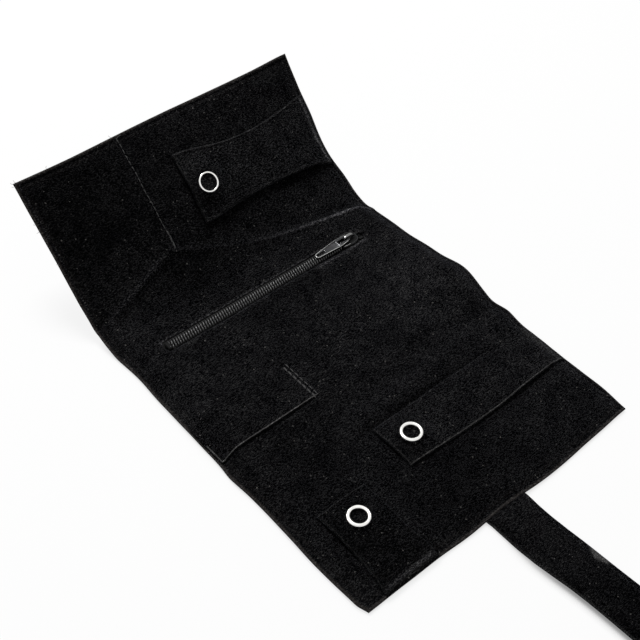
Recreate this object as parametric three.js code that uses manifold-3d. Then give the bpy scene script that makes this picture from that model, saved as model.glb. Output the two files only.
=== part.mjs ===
// A tri-fold velvet jewelry roll, laid open on a table with its flap lifted.
// Millimetres, +Z up. The origin is the middle of the underside of the middle panel.
// X runs across the roll, Y runs along it from the tie strap towards the flap.
import * as THREE from 'three';
import { mergeVertices } from 'three/addons/utils/BufferGeometryUtils.js';
import Module from 'manifold-3d';

const wasm = await Module();
wasm.setup();

// Cloth and board, thickness of each ply
const OUTER_T = 1.2;
const CORE_T = 0.8;
const LINING_T = 1.2;
const POCKET_BACK_T = 0.5;
const STRAP_T = 1.8;
const TIE_T = 2.4;
const PLY_GAP = 0.2;
const EDGE_SOFTENING = 0.35;
const CURVE_STEPS = 4;
const MERGE_TOLERANCE = 1e-4;

// Panels, laid flat
const ROLL_WIDTH = 153.6;
const CORNER_RADIUS = 2.5;
const SEAM_WIDTH = 1.8;
const CORE_SETBACK = 0.6;
const NEAR_EDGE_Y = -127.6;
const FLAP_LENGTH = 73.9;

// Folds: each turns about an axis above the cloth, over a soft strip with no board in it
const FLAP_FOLD_Y = 43.6;
const FLAP_FOLD_RISE = 4.9;
const FLAP_FOLD_BEFORE = 5.2;
const FLAP_FOLD_AFTER = 3.0;
const FLAP_REST_ANGLE = 41.2;
const END_FOLD_Y = -44.4;
const END_FOLD_BEFORE = 3.0;
const END_FOLD_AFTER = 9.0;
const STRIP_GAP = 0.3;
const STRIP_LIFT = 0.3;
const STRIP_STEPS = 12;

// Zip
const ZIP_Y = 22.1;
const ZIP_CENTRE_X = -0.5;
const ZIP_MARGIN = 19.3;
const TAPE_T = 0.4;
const TAPE_WIDTH = 11;
const TAPE_TAIL = 5;
const WINDOW_RADIUS = 1.5;
const COIL_PITCH = 1.35;
const COIL_WIDTH = 2.1;
const COIL_HEIGHT = 1.7;
const COIL_SPINE = 0.8;
const COIL_REACH = 0.45;
const LOOP_WIDTH = 0.48;
const LOOP_SLANT = 0.25;
const STOP_LENGTH = 2.2;
const STOP_HEIGHT = 1.4;
const STOP_WIDTH = 1.3;
const STOP_RADIUS = 0.6;

// Slider and pull tab
const SLIDER_LENGTH = 10.5;
const SLIDER_TOP_T = 0.8;
const SLIDER_BASE_T = 0.6;
const SLIDER_WALL = 0.9;
const SLIDER_FLARE = 0.5;
const SLIDER_TAIL_ROUND = 0.2;
const SLIDER_SHOULDER = 0.1;
const SLIDER_NOSE_PULL = 0.6;
const SLIDER_NOSE_WIDTH = 0.25;
const POST_LENGTH = 2.6;
const POST_WIDTH = 1.5;
const RUN_GAP = 0.25;
const BRIDGE_LENGTH = 7.2;
const BRIDGE_WIDTH = 1.6;
const BRIDGE_T = 0.8;
const BRIDGE_SHOULDER = 1.2;
const BRIDGE_CROWN_END = 0.5;
const BRIDGE_OUTER_PULL = 0.8;
const BRIDGE_INNER_PULL = 0.7;
const BRIDGE_FOOT = 1.3;
const PULL_HINGE_X = -1.1;
const PULL_LENGTH = 19.2;
const PULL_T = 1.2;
const PULL_TIP_WIDTH = 4.4;
const PULL_ROOT_WIDTH = 6.2;
const PULL_EYE_LENGTH = 4.6;
const PULL_ARM = 1.2;
const PULL_SLOT_LENGTH = 4.6;
const PULL_SLOT_WIDTH = 2.2;
const PULL_RIM = 0.8;
const PULL_RECESS = 0.3;
const PULL_SHOULDER = 1.0;
const PULL_TIP_FLAT = 0.2;
const PULL_EYE_RADIUS = 0.4;
const PULL_SLOT_RADIUS = 0.6;
const PULL_SOFTENING = 0.2;

// Open-ring snaps
const RING_OUTER = 10.16;
const RING_INNER = 7.4;
const RING_HEIGHT = 1.0;
const RING_WALL = 0.35;
const RING_ROUND = 0.2;
const BACK_RING_HEIGHT = 0.6;
const SOCKET_DIAMETER = 8.4;
const SOCKET_HEIGHT = 1.2;
const SOCKET_ROOF = 0.3;
const STUD_BASE_HEIGHT = 0.5;
const NUB_DIAMETER = 3.6;
const NUB_HEIGHT = 0.9;
const NUB_NECK = 0.85;
const NUB_CROWN = 0.7;
const NUB_BULGE = 0.6;
const SNAP_GAP = 0.3;
const RING_CLEARANCE = 0.4;
const SNAP_FLAT = 1.0;
const TURN_STEPS = 28;

// Straps: arch is how far the slack cloth stands above a straight run from root to snap,
// setback is from the free end to the snap
const STRAP_ROOT_INSET = 1.5;
const STRAP_SEAT = 0.3;
const STRAP_STEPS = 26;
const ROOT_STEPS = 6;
const FLAP_STRAP = { width: 32, fromFold: 37.1, length: 80.3, setback: 8.9, arch: 3.2 };
const SIDE_STRAP = { width: 24, fromFold: 34.8, length: 93.5, setback: 9.7, arch: 1.3 };
const END_STRAP = { width: 25, fromSide: 24.9, length: 40.7, setback: 11.6, arch: 0.7 };
const STRAP_TAIL_HEIGHT = 0.5;
const BAND_INSET = 1.6;
const BAND_LENGTH = 49.2;
const BAND_FROM_FOLD = 3.9;
const BAND_WIDTH = 22;
const BAND_ARCH = 1.1;
const TIE_LENGTH = 190;
const TIE_WIDTH = 24;
const TIE_CENTRE_X = -0.7;
const TIE_DRIFT_ANGLE = 4.6;
const TIE_LIFT = 0.3;
const TIE_GAP = 0.6;

// Levels worked out from the plies
const HALF_WIDTH = ROLL_WIDTH / 2;
const ZIP_LENGTH = ROLL_WIDTH - 2 * ZIP_MARGIN;
const CORE_Z = OUTER_T + PLY_GAP;
const THIN_LINING_Z = CORE_Z + CORE_T + PLY_GAP;
const THIN_TOP = THIN_LINING_Z + LINING_T;
const POCKET_BACK_Z = CORE_Z + CORE_T + PLY_GAP;
const POCKET_Z = POCKET_BACK_Z + POCKET_BACK_T;
const TAPE_Z = POCKET_Z + SLIDER_BASE_T + 2 * RUN_GAP;
const TAPE_TOP = TAPE_Z + TAPE_T;
const MIDDLE_LINING_Z = TAPE_TOP + PLY_GAP;
const MIDDLE_TOP = MIDDLE_LINING_Z + LINING_T;
const FLAP_DROP = MIDDLE_TOP - THIN_TOP;
const FLAP_AXIS_Z = MIDDLE_TOP + FLAP_FOLD_RISE;

// Edges of the stiff part of each panel
const MIDDLE_LOW_Y = END_FOLD_Y + END_FOLD_BEFORE;
const MIDDLE_HIGH_Y = FLAP_FOLD_Y - FLAP_FOLD_BEFORE;
const FLAP_LOW_Y = FLAP_FOLD_Y + FLAP_FOLD_AFTER;
const FLAP_HIGH_Y = FLAP_FOLD_Y + FLAP_LENGTH;
const END_HIGH_Y = END_FOLD_Y - END_FOLD_AFTER;

const velvet = new THREE.MeshStandardMaterial({ color: 0x0b0b0d, roughness: 0.95, metalness: 0 });
const strapVelvet = new THREE.MeshStandardMaterial({ color: 0x0d0d0f, roughness: 0.95, metalness: 0 });
const felt = new THREE.MeshStandardMaterial({ color: 0x3a3a3c, roughness: 1, metalness: 0 });
const pocketCloth = new THREE.MeshStandardMaterial({ color: 0x141416, roughness: 0.9, metalness: 0 });
const zipTape = new THREE.MeshStandardMaterial({ color: 0x101012, roughness: 0.8, metalness: 0 });
const zipNylon = new THREE.MeshStandardMaterial({ color: 0x1c1c1e, roughness: 0.45, metalness: 0 });
const blackMetal = new THREE.MeshStandardMaterial({ color: 0x2b2b2d, roughness: 0.35, metalness: 1 });
const nickel = new THREE.MeshStandardMaterial({ color: 0xd2d1cd, roughness: 0.22, metalness: 1 });

const radians = THREE.MathUtils.degToRad;
const smooth = (t) => THREE.MathUtils.smoothstep(t, 0, 1);
const lerp = THREE.MathUtils.lerp;

function piece(name, geometry, material) {
  const mesh = new THREE.Mesh(geometry, material);
  mesh.name = name;
  return mesh;
}

// A closed mesh as a solid that can be cut and joined
function solidOf(geometry) {
  const bare = geometry.clone();
  bare.deleteAttribute('normal');
  bare.deleteAttribute('uv');
  const merged = mergeVertices(bare, MERGE_TOLERANCE);
  const vertProperties = new Float32Array(merged.attributes.position.array);
  const triVerts = new Uint32Array(merged.index.array);
  return new wasm.Manifold(new wasm.Mesh({ numProp: 3, vertProperties, triVerts }));
}

function geometryOf(solid) {
  const mesh = solid.getMesh();
  const geometry = new THREE.BufferGeometry();
  geometry.setAttribute('position', new THREE.BufferAttribute(new Float32Array(mesh.vertProperties), 3));
  geometry.setIndex(new THREE.BufferAttribute(new Uint32Array(mesh.triVerts), 1));
  return geometry;
}

function cut(base, ...tools) {
  let solid = solidOf(base);
  for (const tool of tools) {
    solid = solid.subtract(solidOf(tool));
  }
  return geometryOf(solid);
}

function join(...parts) {
  let solid = solidOf(parts[0]);
  for (const part of parts.slice(1)) {
    solid = solid.add(solidOf(part));
  }
  return geometryOf(solid);
}

function box(x0, x1, y0, y1, z0, z1) {
  const geometry = new THREE.BoxGeometry(x1 - x0, y1 - y0, z1 - z0);
  geometry.translate((x0 + x1) / 2, (y0 + y1) / 2, (z0 + z1) / 2);
  return geometry;
}

function roundedRectangle(target, x0, x1, y0, y1, radius) {
  target.moveTo(x0 + radius, y0);
  target.lineTo(x1 - radius, y0);
  target.absarc(x1 - radius, y0 + radius, radius, -Math.PI / 2, 0, false);
  target.lineTo(x1, y1 - radius);
  target.absarc(x1 - radius, y1 - radius, radius, 0, Math.PI / 2, false);
  target.lineTo(x0 + radius, y1);
  target.absarc(x0 + radius, y1 - radius, radius, Math.PI / 2, Math.PI, false);
  target.lineTo(x0, y0 + radius);
  target.absarc(x0 + radius, y0 + radius, radius, Math.PI, 1.5 * Math.PI, false);
  return target;
}

function circleHole(x, y, radius) {
  const hole = new THREE.Path();
  hole.absarc(x, y, radius, 0, 2 * Math.PI, true);
  return hole;
}

// A flat ply cut to a shape, with softened edges
function ply(shape, z, thickness, softening = EDGE_SOFTENING) {
  const soft = Math.min(softening, thickness / 3);
  const geometry = new THREE.ExtrudeGeometry(shape, {
    depth: thickness - 2 * soft,
    bevelEnabled: soft > 0,
    bevelThickness: soft,
    bevelSize: soft,
    bevelOffset: -soft,
    bevelSegments: 1,
    curveSegments: CURVE_STEPS,
  });
  geometry.translate(0, 0, z + soft);
  return geometry;
}

// A profile in the YZ plane carried across the roll
function acrossX(points, x0, x1) {
  const shape = new THREE.Shape(points.map(([y, z]) => new THREE.Vector2(y, z)));
  const geometry = new THREE.ExtrudeGeometry(shape, { depth: x1 - x0, bevelEnabled: false });
  const basis = new THREE.Matrix4().makeBasis(
    new THREE.Vector3(0, 1, 0),
    new THREE.Vector3(0, 0, 1),
    new THREE.Vector3(1, 0, 0),
  );
  geometry.applyMatrix4(basis);
  geometry.translate(x0, 0, 0);
  return geometry;
}

// An outer cloth with its edges turned up to the lining, open where it runs into a fold
function shell(y0, y1, z, rimTop, openLow, openHigh) {
  const outline = roundedRectangle(new THREE.Shape(), -HALF_WIDTH, HALF_WIDTH, y0, y1, CORNER_RADIUS);
  const low = openLow ? y0 - SEAM_WIDTH : y0 + SEAM_WIDTH;
  const high = openHigh ? y1 + SEAM_WIDTH : y1 - SEAM_WIDTH;
  const inside = HALF_WIDTH - SEAM_WIDTH;
  return cut(ply(outline, z, rimTop - z), box(-inside, inside, low, high, z + OUTER_T, rimTop + OUTER_T));
}

// A stiffening board inside a shell, with a round clearance for each snap's back ring
function board(y0, y1, z, seams, snaps) {
  const inside = HALF_WIDTH - SEAM_WIDTH - CORE_SETBACK;
  const low = y0 + (seams.low ? SEAM_WIDTH + CORE_SETBACK : 0);
  const high = y1 - (seams.high ? SEAM_WIDTH + CORE_SETBACK : 0);
  const outline = roundedRectangle(new THREE.Shape(), -inside, inside, low, high, CORNER_RADIUS);
  for (const snap of snaps) {
    outline.holes.push(circleHole(snap.x, snap.y, RING_OUTER / 2 + RING_CLEARANCE));
  }
  return ply(outline, z, CORE_T, 0);
}

function liningPly(y0, y1, z, window) {
  const outline = roundedRectangle(new THREE.Shape(), -HALF_WIDTH, HALF_WIDTH, y0, y1, CORNER_RADIUS);
  if (window) {
    const { x0, x1, low, high, radius } = window;
    outline.holes.push(roundedRectangle(new THREE.Path(), x0, x1, low, high, radius));
  }
  return ply(outline, z, LINING_T);
}

// A cloth strip between two levels, bent by the given function at each step
function foldStrip(yStart, yEnd, startZ, endZ, thickness, bend) {
  const upper = [];
  const lower = [];
  for (let step = 0; step <= STRIP_STEPS; step += 1) {
    const t = step / STRIP_STEPS;
    const y = lerp(yStart, yEnd, t);
    const z = lerp(startZ, endZ, smooth(t));
    lower.push(bend(y, z));
    upper.push(bend(y, z + thickness));
  }
  const outline = yEnd > yStart ? [...lower, ...upper.reverse()] : [...upper, ...lower.reverse()];
  return acrossX(outline, -HALF_WIDTH + EDGE_SOFTENING, HALF_WIDTH - EDGE_SOFTENING);
}

// Turns a point of the flat cloth about the flap's axis, more and more through the strip
function flapBend(y, z) {
  const start = FLAP_FOLD_Y - FLAP_FOLD_BEFORE / 2;
  const share = smooth((y - start) / (FLAP_LOW_Y - start));
  const angle = radians(FLAP_REST_ANGLE) * share;
  const dy = y - FLAP_FOLD_Y;
  const dz = z - FLAP_AXIS_Z;
  return [
    FLAP_FOLD_Y + dy * Math.cos(angle) - dz * Math.sin(angle),
    FLAP_AXIS_Z + dy * Math.sin(angle) + dz * Math.cos(angle),
  ];
}

const flat = (y, z) => [y, z];

// The strap's underside above the lining, u from the hinge to the free end
const SNAP_SEAT_HEIGHT = PLY_GAP + STUD_BASE_HEIGHT + SNAP_GAP + SOCKET_HEIGHT + PLY_GAP;

const snapFromRoot = (strap) => strap.length - strap.setback;

function strapHeight(u, strap) {
  const hold = SOCKET_DIAMETER / 2 + SNAP_FLAT;
  const rise = snapFromRoot(strap) - hold;
  if (u < rise) {
    const t = u / rise;
    return lerp(STRAP_SEAT, SNAP_SEAT_HEIGHT, smooth(t)) + strap.arch * Math.sin(Math.PI * t) ** 2;
  }
  const tail = (u - strap.length + strap.setback - hold) / (strap.setback - hold);
  return lerp(SNAP_SEAT_HEIGHT, STRAP_TAIL_HEIGHT, smooth(tail));
}

// Outline of a strap seen from its side: u along it, v above the lining, with a round root at the hinge
function strapOutline(height, length, thickness) {
  const radius = thickness / 2;
  const middle = height(0) + radius;
  const shape = [];
  for (let step = 0; step <= ROOT_STEPS; step += 1) {
    const angle = Math.PI / 2 + (Math.PI * step) / ROOT_STEPS;
    shape.push([radius * Math.cos(angle), middle + radius * Math.sin(angle)]);
  }
  const under = [];
  const upper = [];
  for (let step = 1; step <= STRAP_STEPS; step += 1) {
    const u = (length * step) / STRAP_STEPS;
    under.push([u, height(u)]);
    upper.push([u, height(u) + thickness]);
  }
  return [...shape, ...under, ...upper.reverse()];
}

function strapSolid(outline, width) {
  const shape = new THREE.Shape(outline.map(([u, v]) => new THREE.Vector2(u, v)));
  const geometry = new THREE.ExtrudeGeometry(shape, { depth: width, bevelEnabled: false });
  geometry.translate(0, 0, -width / 2);
  geometry.rotateX(Math.PI / 2);
  return geometry;
}

// A turned piece standing on z = 0, its profile given as radius and height
function turned(profile) {
  const points = profile.map(([radius, z]) => new THREE.Vector2(radius, z));
  const geometry = new THREE.LatheGeometry(points, TURN_STEPS);
  geometry.rotateX(Math.PI / 2);
  return geometry;
}

function ringProfile(height) {
  const outer = RING_OUTER / 2;
  const inner = RING_INNER / 2;
  const wall = outer - inner;
  return [
    [inner, 0],
    [outer, 0],
    [outer, RING_WALL * height],
    [outer - RING_ROUND * wall, (1 - RING_ROUND) * height],
    [outer - wall / 2, height],
    [inner + RING_ROUND * wall, (1 - RING_ROUND) * height],
    [inner, RING_WALL * height],
    [inner, 0],
  ];
}

function socketProfile() {
  const outer = SOCKET_DIAMETER / 2;
  const cavity = NUB_DIAMETER / 2 + RING_CLEARANCE;
  const roof = SOCKET_HEIGHT - SOCKET_ROOF;
  return [
    [0, roof],
    [cavity, roof],
    [cavity, 0],
    [outer - SOCKET_ROOF, 0],
    [outer, SOCKET_ROOF],
    [outer, roof],
    [outer - SOCKET_ROOF, SOCKET_HEIGHT],
    [0, SOCKET_HEIGHT],
  ];
}

function studProfile() {
  const outer = SOCKET_DIAMETER / 2;
  const nub = NUB_DIAMETER / 2;
  const top = STUD_BASE_HEIGHT + NUB_HEIGHT;
  return [
    [0, 0],
    [outer, 0],
    [outer, STUD_BASE_HEIGHT / 2],
    [outer - STUD_BASE_HEIGHT, STUD_BASE_HEIGHT],
    [NUB_NECK * nub, STUD_BASE_HEIGHT],
    [nub, STUD_BASE_HEIGHT + NUB_BULGE * NUB_HEIGHT],
    [NUB_CROWN * nub, top],
    [0, top],
  ];
}

// The stud and back ring of a snap, on the panel
function snapPanelSide(name, x, y, liningTop, boardZ) {
  const stud = piece(`${name}_snap_stud`, turned(studProfile()), nickel);
  stud.position.set(x, y, liningTop + PLY_GAP);
  const back = piece(`${name}_snap_back_ring`, turned(ringProfile(BACK_RING_HEIGHT)), nickel);
  back.position.set(x, y, boardZ + (CORE_T - BACK_RING_HEIGHT) / 2);
  return [stud, back];
}

// A strap with the cap ring and socket of its snap, hinged at its root
function snapStrap(name, strap) {
  const group = new THREE.Group();
  const outline = strapOutline((u) => strapHeight(u, strap), strap.length, STRAP_T);
  group.add(piece(`${name}_strap`, strapSolid(outline, strap.width), strapVelvet));
  const socket = piece(`${name}_snap_socket`, turned(socketProfile()), nickel);
  socket.position.set(snapFromRoot(strap), 0, SNAP_SEAT_HEIGHT - PLY_GAP - SOCKET_HEIGHT);
  const cap = piece(`${name}_snap_cap_ring`, turned(ringProfile(RING_HEIGHT)), nickel);
  cap.position.set(snapFromRoot(strap), 0, SNAP_SEAT_HEIGHT + STRAP_T + PLY_GAP);
  group.add(socket, cap);
  return group;
}

// One side of the interlocking coil: a spine on the tape with a row of slanted loop heads
function coilSolid(x0, x1, phase) {
  const inner = COIL_WIDTH - COIL_SPINE;
  const half = LOOP_WIDTH / 2;
  const shape = new THREE.Shape();
  shape.moveTo(x1, COIL_WIDTH);
  shape.lineTo(x0, COIL_WIDTH);
  shape.lineTo(x0, inner);
  const first = x0 + COIL_PITCH / 2 + COIL_PITCH * phase;
  const last = x1 - COIL_PITCH / 2;
  for (let x = first; x < last; x += COIL_PITCH) {
    shape.lineTo(x - half, inner);
    shape.lineTo(x + LOOP_SLANT - half, -COIL_REACH + half);
    shape.lineTo(x + LOOP_SLANT, -COIL_REACH);
    shape.lineTo(x + LOOP_SLANT + half, -COIL_REACH + half);
    shape.lineTo(x + half, inner);
  }
  shape.lineTo(x1, inner);
  return new THREE.ExtrudeGeometry(shape, { depth: COIL_HEIGHT, bevelEnabled: false });
}

// Outline of the slider seen from above, narrow at the closed chain and flared at the open end
function sliderOutline() {
  const half = SLIDER_LENGTH / 2;
  const narrow = COIL_WIDTH + RUN_GAP + SLIDER_WALL;
  const wide = narrow + SLIDER_FLARE;
  const tail = (1 - SLIDER_TAIL_ROUND) * half;
  const tailWide = (1 - SLIDER_TAIL_ROUND) * narrow;
  const shoulder = SLIDER_SHOULDER * half;
  const nose = SLIDER_NOSE_PULL * half;
  const noseWide = SLIDER_NOSE_WIDTH * wide;
  const shape = new THREE.Shape();
  shape.moveTo(-half, -tailWide);
  shape.quadraticCurveTo(-half, -narrow, -tail, -narrow);
  shape.lineTo(shoulder, -wide);
  shape.bezierCurveTo(nose, -wide, half, noseWide - wide, half, -noseWide);
  shape.lineTo(half, noseWide);
  shape.bezierCurveTo(half, wide - noseWide, nose, wide, shoulder, wide);
  shape.lineTo(-tail, narrow);
  shape.quadraticCurveTo(-half, narrow, -half, tailWide);
  return shape;
}

const SLIDER_BASE_Z = POCKET_Z + RUN_GAP;
const COIL_Z = TAPE_TOP + PLY_GAP;
const COIL_TOP = COIL_Z + COIL_HEIGHT;
const SLIDER_ROOF_Z = COIL_TOP + RUN_GAP;
const SLIDER_TOP = SLIDER_ROOF_Z + SLIDER_TOP_T;
const PULL_BAR = PULL_T;
const PULL_AXIS_Z = SLIDER_TOP + PULL_BAR / 2 + 2 * RUN_GAP;

// The slider's two plates, the walls that hold the coil, the post that parts it and the bridge
function sliderSolid() {
  const half = SLIDER_LENGTH / 2;
  const lip = TAPE_TOP + RUN_GAP;
  const channel = COIL_WIDTH + RUN_GAP;
  const hat = ply(sliderOutline(), lip, SLIDER_TOP - lip);
  const tunnel = box(-SLIDER_LENGTH, SLIDER_LENGTH, -channel, channel, 0, SLIDER_ROOF_Z);
  const base = ply(sliderOutline(), SLIDER_BASE_Z, SLIDER_BASE_T);
  const postEnd = half - SLIDER_WALL / 2;
  const post = box(
    postEnd - POST_LENGTH, postEnd, -POST_WIDTH / 2, POST_WIDTH / 2,
    SLIDER_BASE_Z + SLIDER_BASE_T / 2, SLIDER_TOP - SLIDER_TOP_T / 2,
  );
  return join(cut(hat, tunnel), base, post, bridgeSolid());
}

// The bridge is an arch along the slider that the pull tab's bar passes under
function bridgeSolid() {
  const start = PULL_HINGE_X - PULL_BAR / 2 - 2 * RUN_GAP - BRIDGE_T;
  const end = start + BRIDGE_LENGTH;
  const foot = SLIDER_TOP - SLIDER_TOP_T / 2;
  const crown = PULL_AXIS_Z + PULL_BAR / 2 + RUN_GAP + BRIDGE_T;
  const crownEnd = start + BRIDGE_CROWN_END * BRIDGE_LENGTH;
  const soffit = crown - BRIDGE_T;
  const shape = new THREE.Shape();
  shape.moveTo(start, foot);
  shape.lineTo(start, crown - BRIDGE_SHOULDER);
  shape.quadraticCurveTo(start, crown, start + BRIDGE_SHOULDER, crown);
  shape.lineTo(crownEnd, crown);
  shape.quadraticCurveTo(start + BRIDGE_OUTER_PULL * BRIDGE_LENGTH, crown, end, foot);
  shape.lineTo(end - BRIDGE_FOOT, foot);
  shape.quadraticCurveTo(start + BRIDGE_INNER_PULL * BRIDGE_LENGTH, soffit, crownEnd, soffit);
  shape.lineTo(start + BRIDGE_T, soffit);
  shape.lineTo(start + BRIDGE_T, foot);
  const geometry = new THREE.ExtrudeGeometry(shape, {
    depth: BRIDGE_WIDTH, bevelEnabled: false, curveSegments: CURVE_STEPS,
  });
  geometry.translate(0, 0, -BRIDGE_WIDTH / 2);
  geometry.rotateX(Math.PI / 2);
  return geometry;
}

// The pull tab lies along -X from its bar, which is centred on the hinge
function pullSolid() {
  const bar = PULL_BAR / 2;
  const tip = -PULL_LENGTH;
  const eyeEnd = -bar - PULL_EYE_LENGTH;
  const eyeHalf = BRIDGE_WIDTH / 2 + 2 * RUN_GAP;
  const barHalf = eyeHalf + PULL_ARM;
  const rootHalf = PULL_ROOT_WIDTH / 2;
  const tipHalf = PULL_TIP_WIDTH / 2;
  const tipFlat = PULL_TIP_FLAT * PULL_TIP_WIDTH;
  const shape = new THREE.Shape();
  shape.moveTo(bar, -barHalf);
  shape.lineTo(bar, barHalf);
  shape.lineTo(-bar, barHalf);
  shape.lineTo(eyeEnd + PULL_SHOULDER, rootHalf);
  shape.lineTo(eyeEnd - PULL_SHOULDER, rootHalf);
  shape.lineTo(tip + PULL_SHOULDER, tipHalf);
  shape.quadraticCurveTo(tip, tipHalf, tip, tipFlat);
  shape.lineTo(tip, -tipFlat);
  shape.quadraticCurveTo(tip, -tipHalf, tip + PULL_SHOULDER, -tipHalf);
  shape.lineTo(eyeEnd - PULL_SHOULDER, -rootHalf);
  shape.lineTo(eyeEnd + PULL_SHOULDER, -rootHalf);
  shape.lineTo(-bar, -barHalf);
  const eye = roundedRectangle(new THREE.Path(), eyeEnd, -bar, -eyeHalf, eyeHalf, PULL_EYE_RADIUS);
  const slotStart = tip + PULL_RIM;
  const slotEnd = slotStart + PULL_SLOT_LENGTH;
  const slotHalf = PULL_SLOT_WIDTH / 2;
  const slot = roundedRectangle(
    new THREE.Path(), slotStart, slotEnd, -slotHalf, slotHalf, PULL_SLOT_RADIUS,
  );
  shape.holes.push(eye, slot);
  const plate = ply(shape, -PULL_T / 2, PULL_T, PULL_SOFTENING);
  const panel = roundedRectangle(
    new THREE.Shape(), slotEnd + PULL_RIM, eyeEnd - PULL_RIM,
    PULL_RIM - rootHalf, rootHalf - PULL_RIM, PULL_SLOT_RADIUS,
  );
  const recess = ply(panel, PULL_T / 2 - PULL_RECESS, PULL_T, 0);
  return cut(plate, recess);
}

// Zip stations along X
const ZIP_X0 = ZIP_CENTRE_X - ZIP_LENGTH / 2;
const ZIP_X1 = ZIP_CENTRE_X + ZIP_LENGTH / 2;
const WINDOW_HALF = COIL_WIDTH + RUN_GAP + SLIDER_WALL + SLIDER_FLARE + SNAP_GAP;
const BOTTOM_STOP_X = ZIP_X0 + SNAP_GAP;
const COIL_X0 = BOTTOM_STOP_X + STOP_LENGTH + SNAP_GAP;
const TOP_STOP_X = ZIP_X1 - SNAP_GAP - STOP_LENGTH;
const SLIDER_X = TOP_STOP_X - SNAP_GAP - SLIDER_LENGTH / 2;
const COIL_X1 = SLIDER_X + SLIDER_LENGTH / 2 - SLIDER_WALL / 2 - POST_LENGTH - SNAP_GAP;
const POST_GAP = POST_WIDTH / 2 + RUN_GAP;

function zip() {
  const group = new THREE.Group();
  group.position.y = ZIP_Y;
  for (const [side, turn, phase] of [['upper', 1, 0], ['lower', -1, 0.5]]) {
    const x0 = ZIP_X0 - TAPE_TAIL;
    const x1 = ZIP_X1 + TAPE_TAIL;
    const inner = turn * POST_GAP;
    const outer = turn * (POST_GAP + TAPE_WIDTH);
    const low = Math.min(inner, outer);
    const high = Math.max(inner, outer);
    group.add(piece(`zip_tape_${side}`, box(x0, x1, low, high, TAPE_Z, TAPE_TOP), zipTape));
    const coil = coilSolid(COIL_X0, COIL_X1, phase);
    if (turn < 0) {
      coil.rotateX(Math.PI);
      coil.translate(0, 0, COIL_HEIGHT);
    }
    coil.translate(0, 0, COIL_Z);
    group.add(piece(`zip_coil_${side}`, coil, zipNylon));
    const stopLow = Math.min(inner + turn * SNAP_GAP, inner + turn * (SNAP_GAP + STOP_WIDTH));
    const stop = box(
      TOP_STOP_X, TOP_STOP_X + STOP_LENGTH, stopLow, stopLow + STOP_WIDTH, COIL_Z, COIL_Z + STOP_HEIGHT,
    );
    group.add(piece(`zip_top_stop_${side}`, stop, blackMetal));
  }
  const stopOutline = roundedRectangle(
    new THREE.Shape(), BOTTOM_STOP_X, BOTTOM_STOP_X + STOP_LENGTH, -COIL_WIDTH, COIL_WIDTH, STOP_RADIUS,
  );
  group.add(piece('zip_bottom_stop', ply(stopOutline, COIL_Z, COIL_HEIGHT), blackMetal));
  const slider = piece('zip_slider', sliderSolid(), blackMetal);
  slider.position.x = SLIDER_X;
  const pull = piece('zip_pull_tab', pullSolid(), blackMetal);
  pull.position.set(SLIDER_X + PULL_HINGE_X, 0, PULL_AXIS_Z);
  const drop = PULL_AXIS_Z - PULL_T / 2 - COIL_TOP - SNAP_GAP;
  pull.rotation.y = -Math.asin(drop / PULL_LENGTH);
  group.add(slider, pull);
  return group;
}

function middlePanel() {
  const group = new THREE.Group();
  const rim = MIDDLE_LINING_Z - PLY_GAP;
  group.add(piece('middle_outer_shell', shell(MIDDLE_LOW_Y, MIDDLE_HIGH_Y, 0, rim, true, true), velvet));
  group.add(piece('middle_interlining', board(MIDDLE_LOW_Y, MIDDLE_HIGH_Y, CORE_Z, {}, []), felt));
  const inside = HALF_WIDTH - SEAM_WIDTH - CORE_SETBACK;
  const back = roundedRectangle(
    new THREE.Shape(), -inside, inside, MIDDLE_LOW_Y, MIDDLE_HIGH_Y, CORNER_RADIUS,
  );
  group.add(piece('zip_pocket_back', ply(back, POCKET_BACK_Z, POCKET_BACK_T, 0), pocketCloth));
  const window = {
    x0: ZIP_X0, x1: ZIP_X1, low: ZIP_Y - WINDOW_HALF, high: ZIP_Y + WINDOW_HALF, radius: WINDOW_RADIUS,
  };
  const lining = liningPly(MIDDLE_LOW_Y, MIDDLE_HIGH_Y, MIDDLE_LINING_Z, window);
  group.add(piece('middle_lining', lining, velvet));
  group.add(zip());
  const height = (u) => STRAP_SEAT + BAND_ARCH * Math.sin((Math.PI * u) / BAND_LENGTH) ** 2;
  const outline = strapOutline(height, BAND_LENGTH, STRAP_T);
  const band = piece('sewn_band', strapSolid(outline, BAND_WIDTH), strapVelvet);
  band.position.set(BAND_INSET - HALF_WIDTH, END_FOLD_Y + BAND_FROM_FOLD + BAND_WIDTH / 2, MIDDLE_TOP);
  group.add(band);
  return group;
}

function folds() {
  const group = new THREE.Group();
  const flapStart = MIDDLE_HIGH_Y + STRIP_GAP;
  const flapEnd = FLAP_LOW_Y - STRIP_GAP;
  const flapOuter = foldStrip(flapStart, flapEnd, STRIP_LIFT, FLAP_DROP, OUTER_T, flapBend);
  const flapLining = foldStrip(flapStart, flapEnd, MIDDLE_LINING_Z, MIDDLE_LINING_Z, LINING_T, flapBend);
  const endStart = MIDDLE_LOW_Y - STRIP_GAP;
  const endEnd = END_HIGH_Y + STRIP_GAP;
  const endOuter = foldStrip(endStart, endEnd, STRIP_LIFT, STRIP_LIFT, OUTER_T, flat);
  const endLining = foldStrip(endStart, endEnd, MIDDLE_LINING_Z, THIN_LINING_Z, LINING_T, flat);
  group.add(piece('flap_fold_outer', flapOuter, velvet));
  group.add(piece('flap_fold_lining', flapLining, velvet));
  group.add(piece('end_fold_outer', endOuter, velvet));
  group.add(piece('end_fold_lining', endLining, velvet));
  return group;
}

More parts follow.
